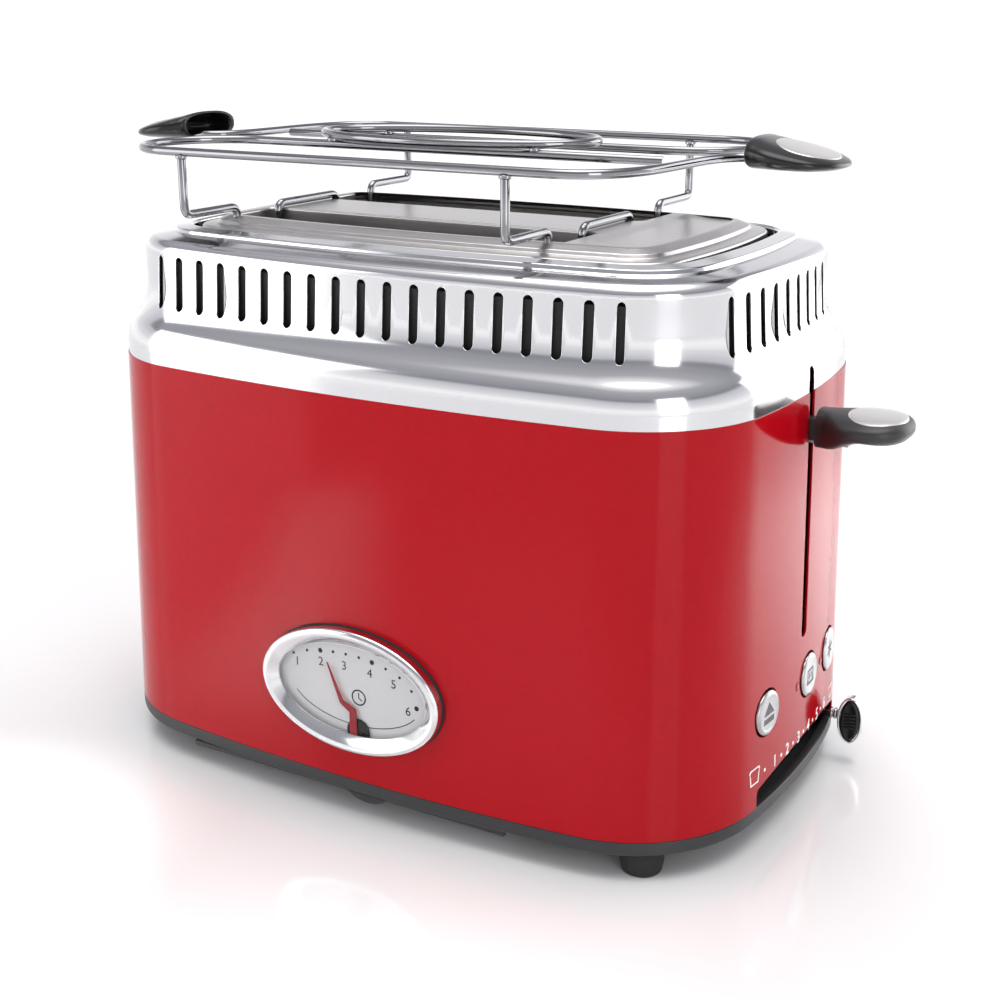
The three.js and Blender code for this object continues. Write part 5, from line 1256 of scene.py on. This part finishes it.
# The foot of each leg hangs in a slot, its two posts just clear of the long edges.
inner_post, outer_post = 17 + 3.05, 49.5 - 3.05
for name, place in zip(("left", "right"), legs):
    half = [(inner_post, rest), (inner_post, crown - 8), (outer_post, crown - 8), (outer_post, rest + 1.4),
            (rail_place, rest + 1.4), (rail_place, rack_height - wire_radius - 0.3)]
    x = rack_middle + place
    route = [(x, -y, z) for y, z in half[::-1]] + [(x, y, z) for y, z in half]
    make_piece("rack_leg_" + name + "_wire", [tube(eased(route, 3.4))], bright_wire, "rack",
               "polished_chrome", "rack_leg_" + name)


def about_rack(points, way):
    """Turns a handle's points half round the rack for the left end."""
    points = np.asarray(points) * np.array([way, way, 1])
    return points + np.array([rack_middle, 0, 0])


handle_root, handle_tip = 126, 157.6


def handle_top(x):
    """The top of a handle falls evenly towards its tip."""
    return 256.0 - 7.6 * (x - handle_root) / (handle_tip - handle_root)


grip = Paddle(handle_root, handle_tip - 0.1, 21, 17.6, handle_top, lambda x: 244.3, 2.5)
outer_rings = grip.rings(stations(handle_root + 0.8, handle_tip - 0.1, 30))
mouth = [superoval(w * s, h * s, 0, m, handle_root + deep, 2.5)
         for s, deep in ((0.5, 13), (0.62, 11.5), (0.72, 7), (0.8, 1), (0.84, 0.15), (0.9, 0), (0.96, 0.2))
         for w, h, m in [grip.section(handle_root + deep)]]
grip_points, grip_faces = lofted(mouth + outer_rings)
inset_points, inset_faces = inset_on(grip, handle_root + 17.6, 11.0, 14.6, 0.3)
for name, way in (("right", 1), ("left", -1)):
    make_piece("rack_grip_" + name, [(about_rack(grip_points, way), grip_faces)], gloss_black, "rack",
               "black_plastic", "rack_handle_" + name)
    make_piece("rack_grip_inset_" + name, [(about_rack(inset_points, way), inset_faces)], pale_silver, "rack",
               "brushed", "handle_inset_" + name)


# Works: galvanised frames and aluminised reflectors hold four mica cards wound with flat heating ribbon, and
# pierced guides keep the bread off them. A sprung carriage runs on a rod and lifts the bread.
# Pressed mica flakes, 2.5 mm across, in pale and dark scales with a slight glitter.
mica = finish("mica_card", "#A98E62", 2.5, 0.03, tones=("#8C7148", "#C2AA7C"), wear=(0.3, 0.6), detail=4.0,
              roughness=0.45, ior=1.56)
dress(mica, "heater_front_outer", "heater_front_inner", "heater_back_inner", "heater_back_outer")
dress(zinc, "frame_left", "frame_right", "carriage_plate", "support_front", "support_back", "latch_magnet")
# Aluminised sheet: brighter than zinc, with slow dull patches about 9 mm across.
bright_zinc = finish("bright_aluminised_steel", "#BFC0C1", 9, 0.02, tones=("#B1B2B3", "#CCCDCE"),
                     wear=(0.2, 0.4), metallic=1.0, roughness=0.28)
dress(bright_zinc, "reflector_front", "reflector_back", "guide_front_outer", "guide_front_inner",
      "guide_back_inner", "guide_back_outer", "guide_rod", "carriage_spring")
# Heat leaves the ribbon with straw and blue-grey oxide in patches of about 8 mm.
nichrome = finish("nichrome_ribbon", "#8E8A86", 8, 0.004, tones=("#7B7672", "#A39A8E"), wear=(0.3, 0.45),
                  metallic=1.0, roughness=0.35)
ribbon_width, ribbon_pitch, ribbon_low, ribbon_high = 1.6, 9.0, 48, 188
for name, y in (("front_outer", -57), ("front_inner", -8), ("back_inner", 8), ("back_outer", 57)):
    side = 1 if name in ("front_outer", "back_inner") else -1
    face = y + side * 0.62
    deep = (face - 0.13, face + 0.13)
    parts = []
    for x in np.arange(-84, 60, ribbon_pitch):
        parts.append(eased_box((x, x + ribbon_width), deep, (ribbon_low, ribbon_high), 0.04, 0.12))
    for k, x in enumerate(np.arange(-84, 51, ribbon_pitch)):
        z = ribbon_high if k % 2 == 0 else ribbon_low
        parts.append(eased_box((x, x + ribbon_pitch + ribbon_width), deep, (z - 0.8, z + 0.8), 0.04, 0.12))
    make_piece("ribbon_" + name, parts, nichrome, "housing", "heater_card")
# Paper laminate: brown with a fibrous mottle 1 mm across.
laminate = finish("phenolic_board", "#6E4A28", 1.0, 0.01, tones=("#5F3F21", "#7D5732"), wear=(0.4, 0.6),
                  roughness=0.5, ior=1.55)
dress(laminate, "control_board")
# Moulded nylon: warm white and waxy.
white_nylon = finish("white_nylon", "#E4E0D6", 0.8, 0.01, tones=("#DDD8CD", "#EBE8E0"), wear=(0.4, 0.6),
                     roughness=0.5, ior=1.53)
dress(white_nylon, "terminal_block")


# Cord gland: a round bush of black plastic for the mains lead, near the back of the left end. It sits in a
# hole of the sheet and stands a little proud of it.
gland_proud = 2.3
gland_out = float(end_wall(gland_y, gland_height, -1)) - gland_proud
gland = turned([(3.6, 9), (3.6, 0, 0.8), (6.6, 0, 0.5), (9, 0.4, 1.2), (9, 2, 0.3), (6.5, 2.1, 0.2),
                (6.5, 9, 0.4), (3.6, 9, 0.4)], (gland_out, gland_y, gland_height), "x")
make_piece("cord_gland_bush", [gland], moulded_black, "housing", "black_plastic", "cord_gland")
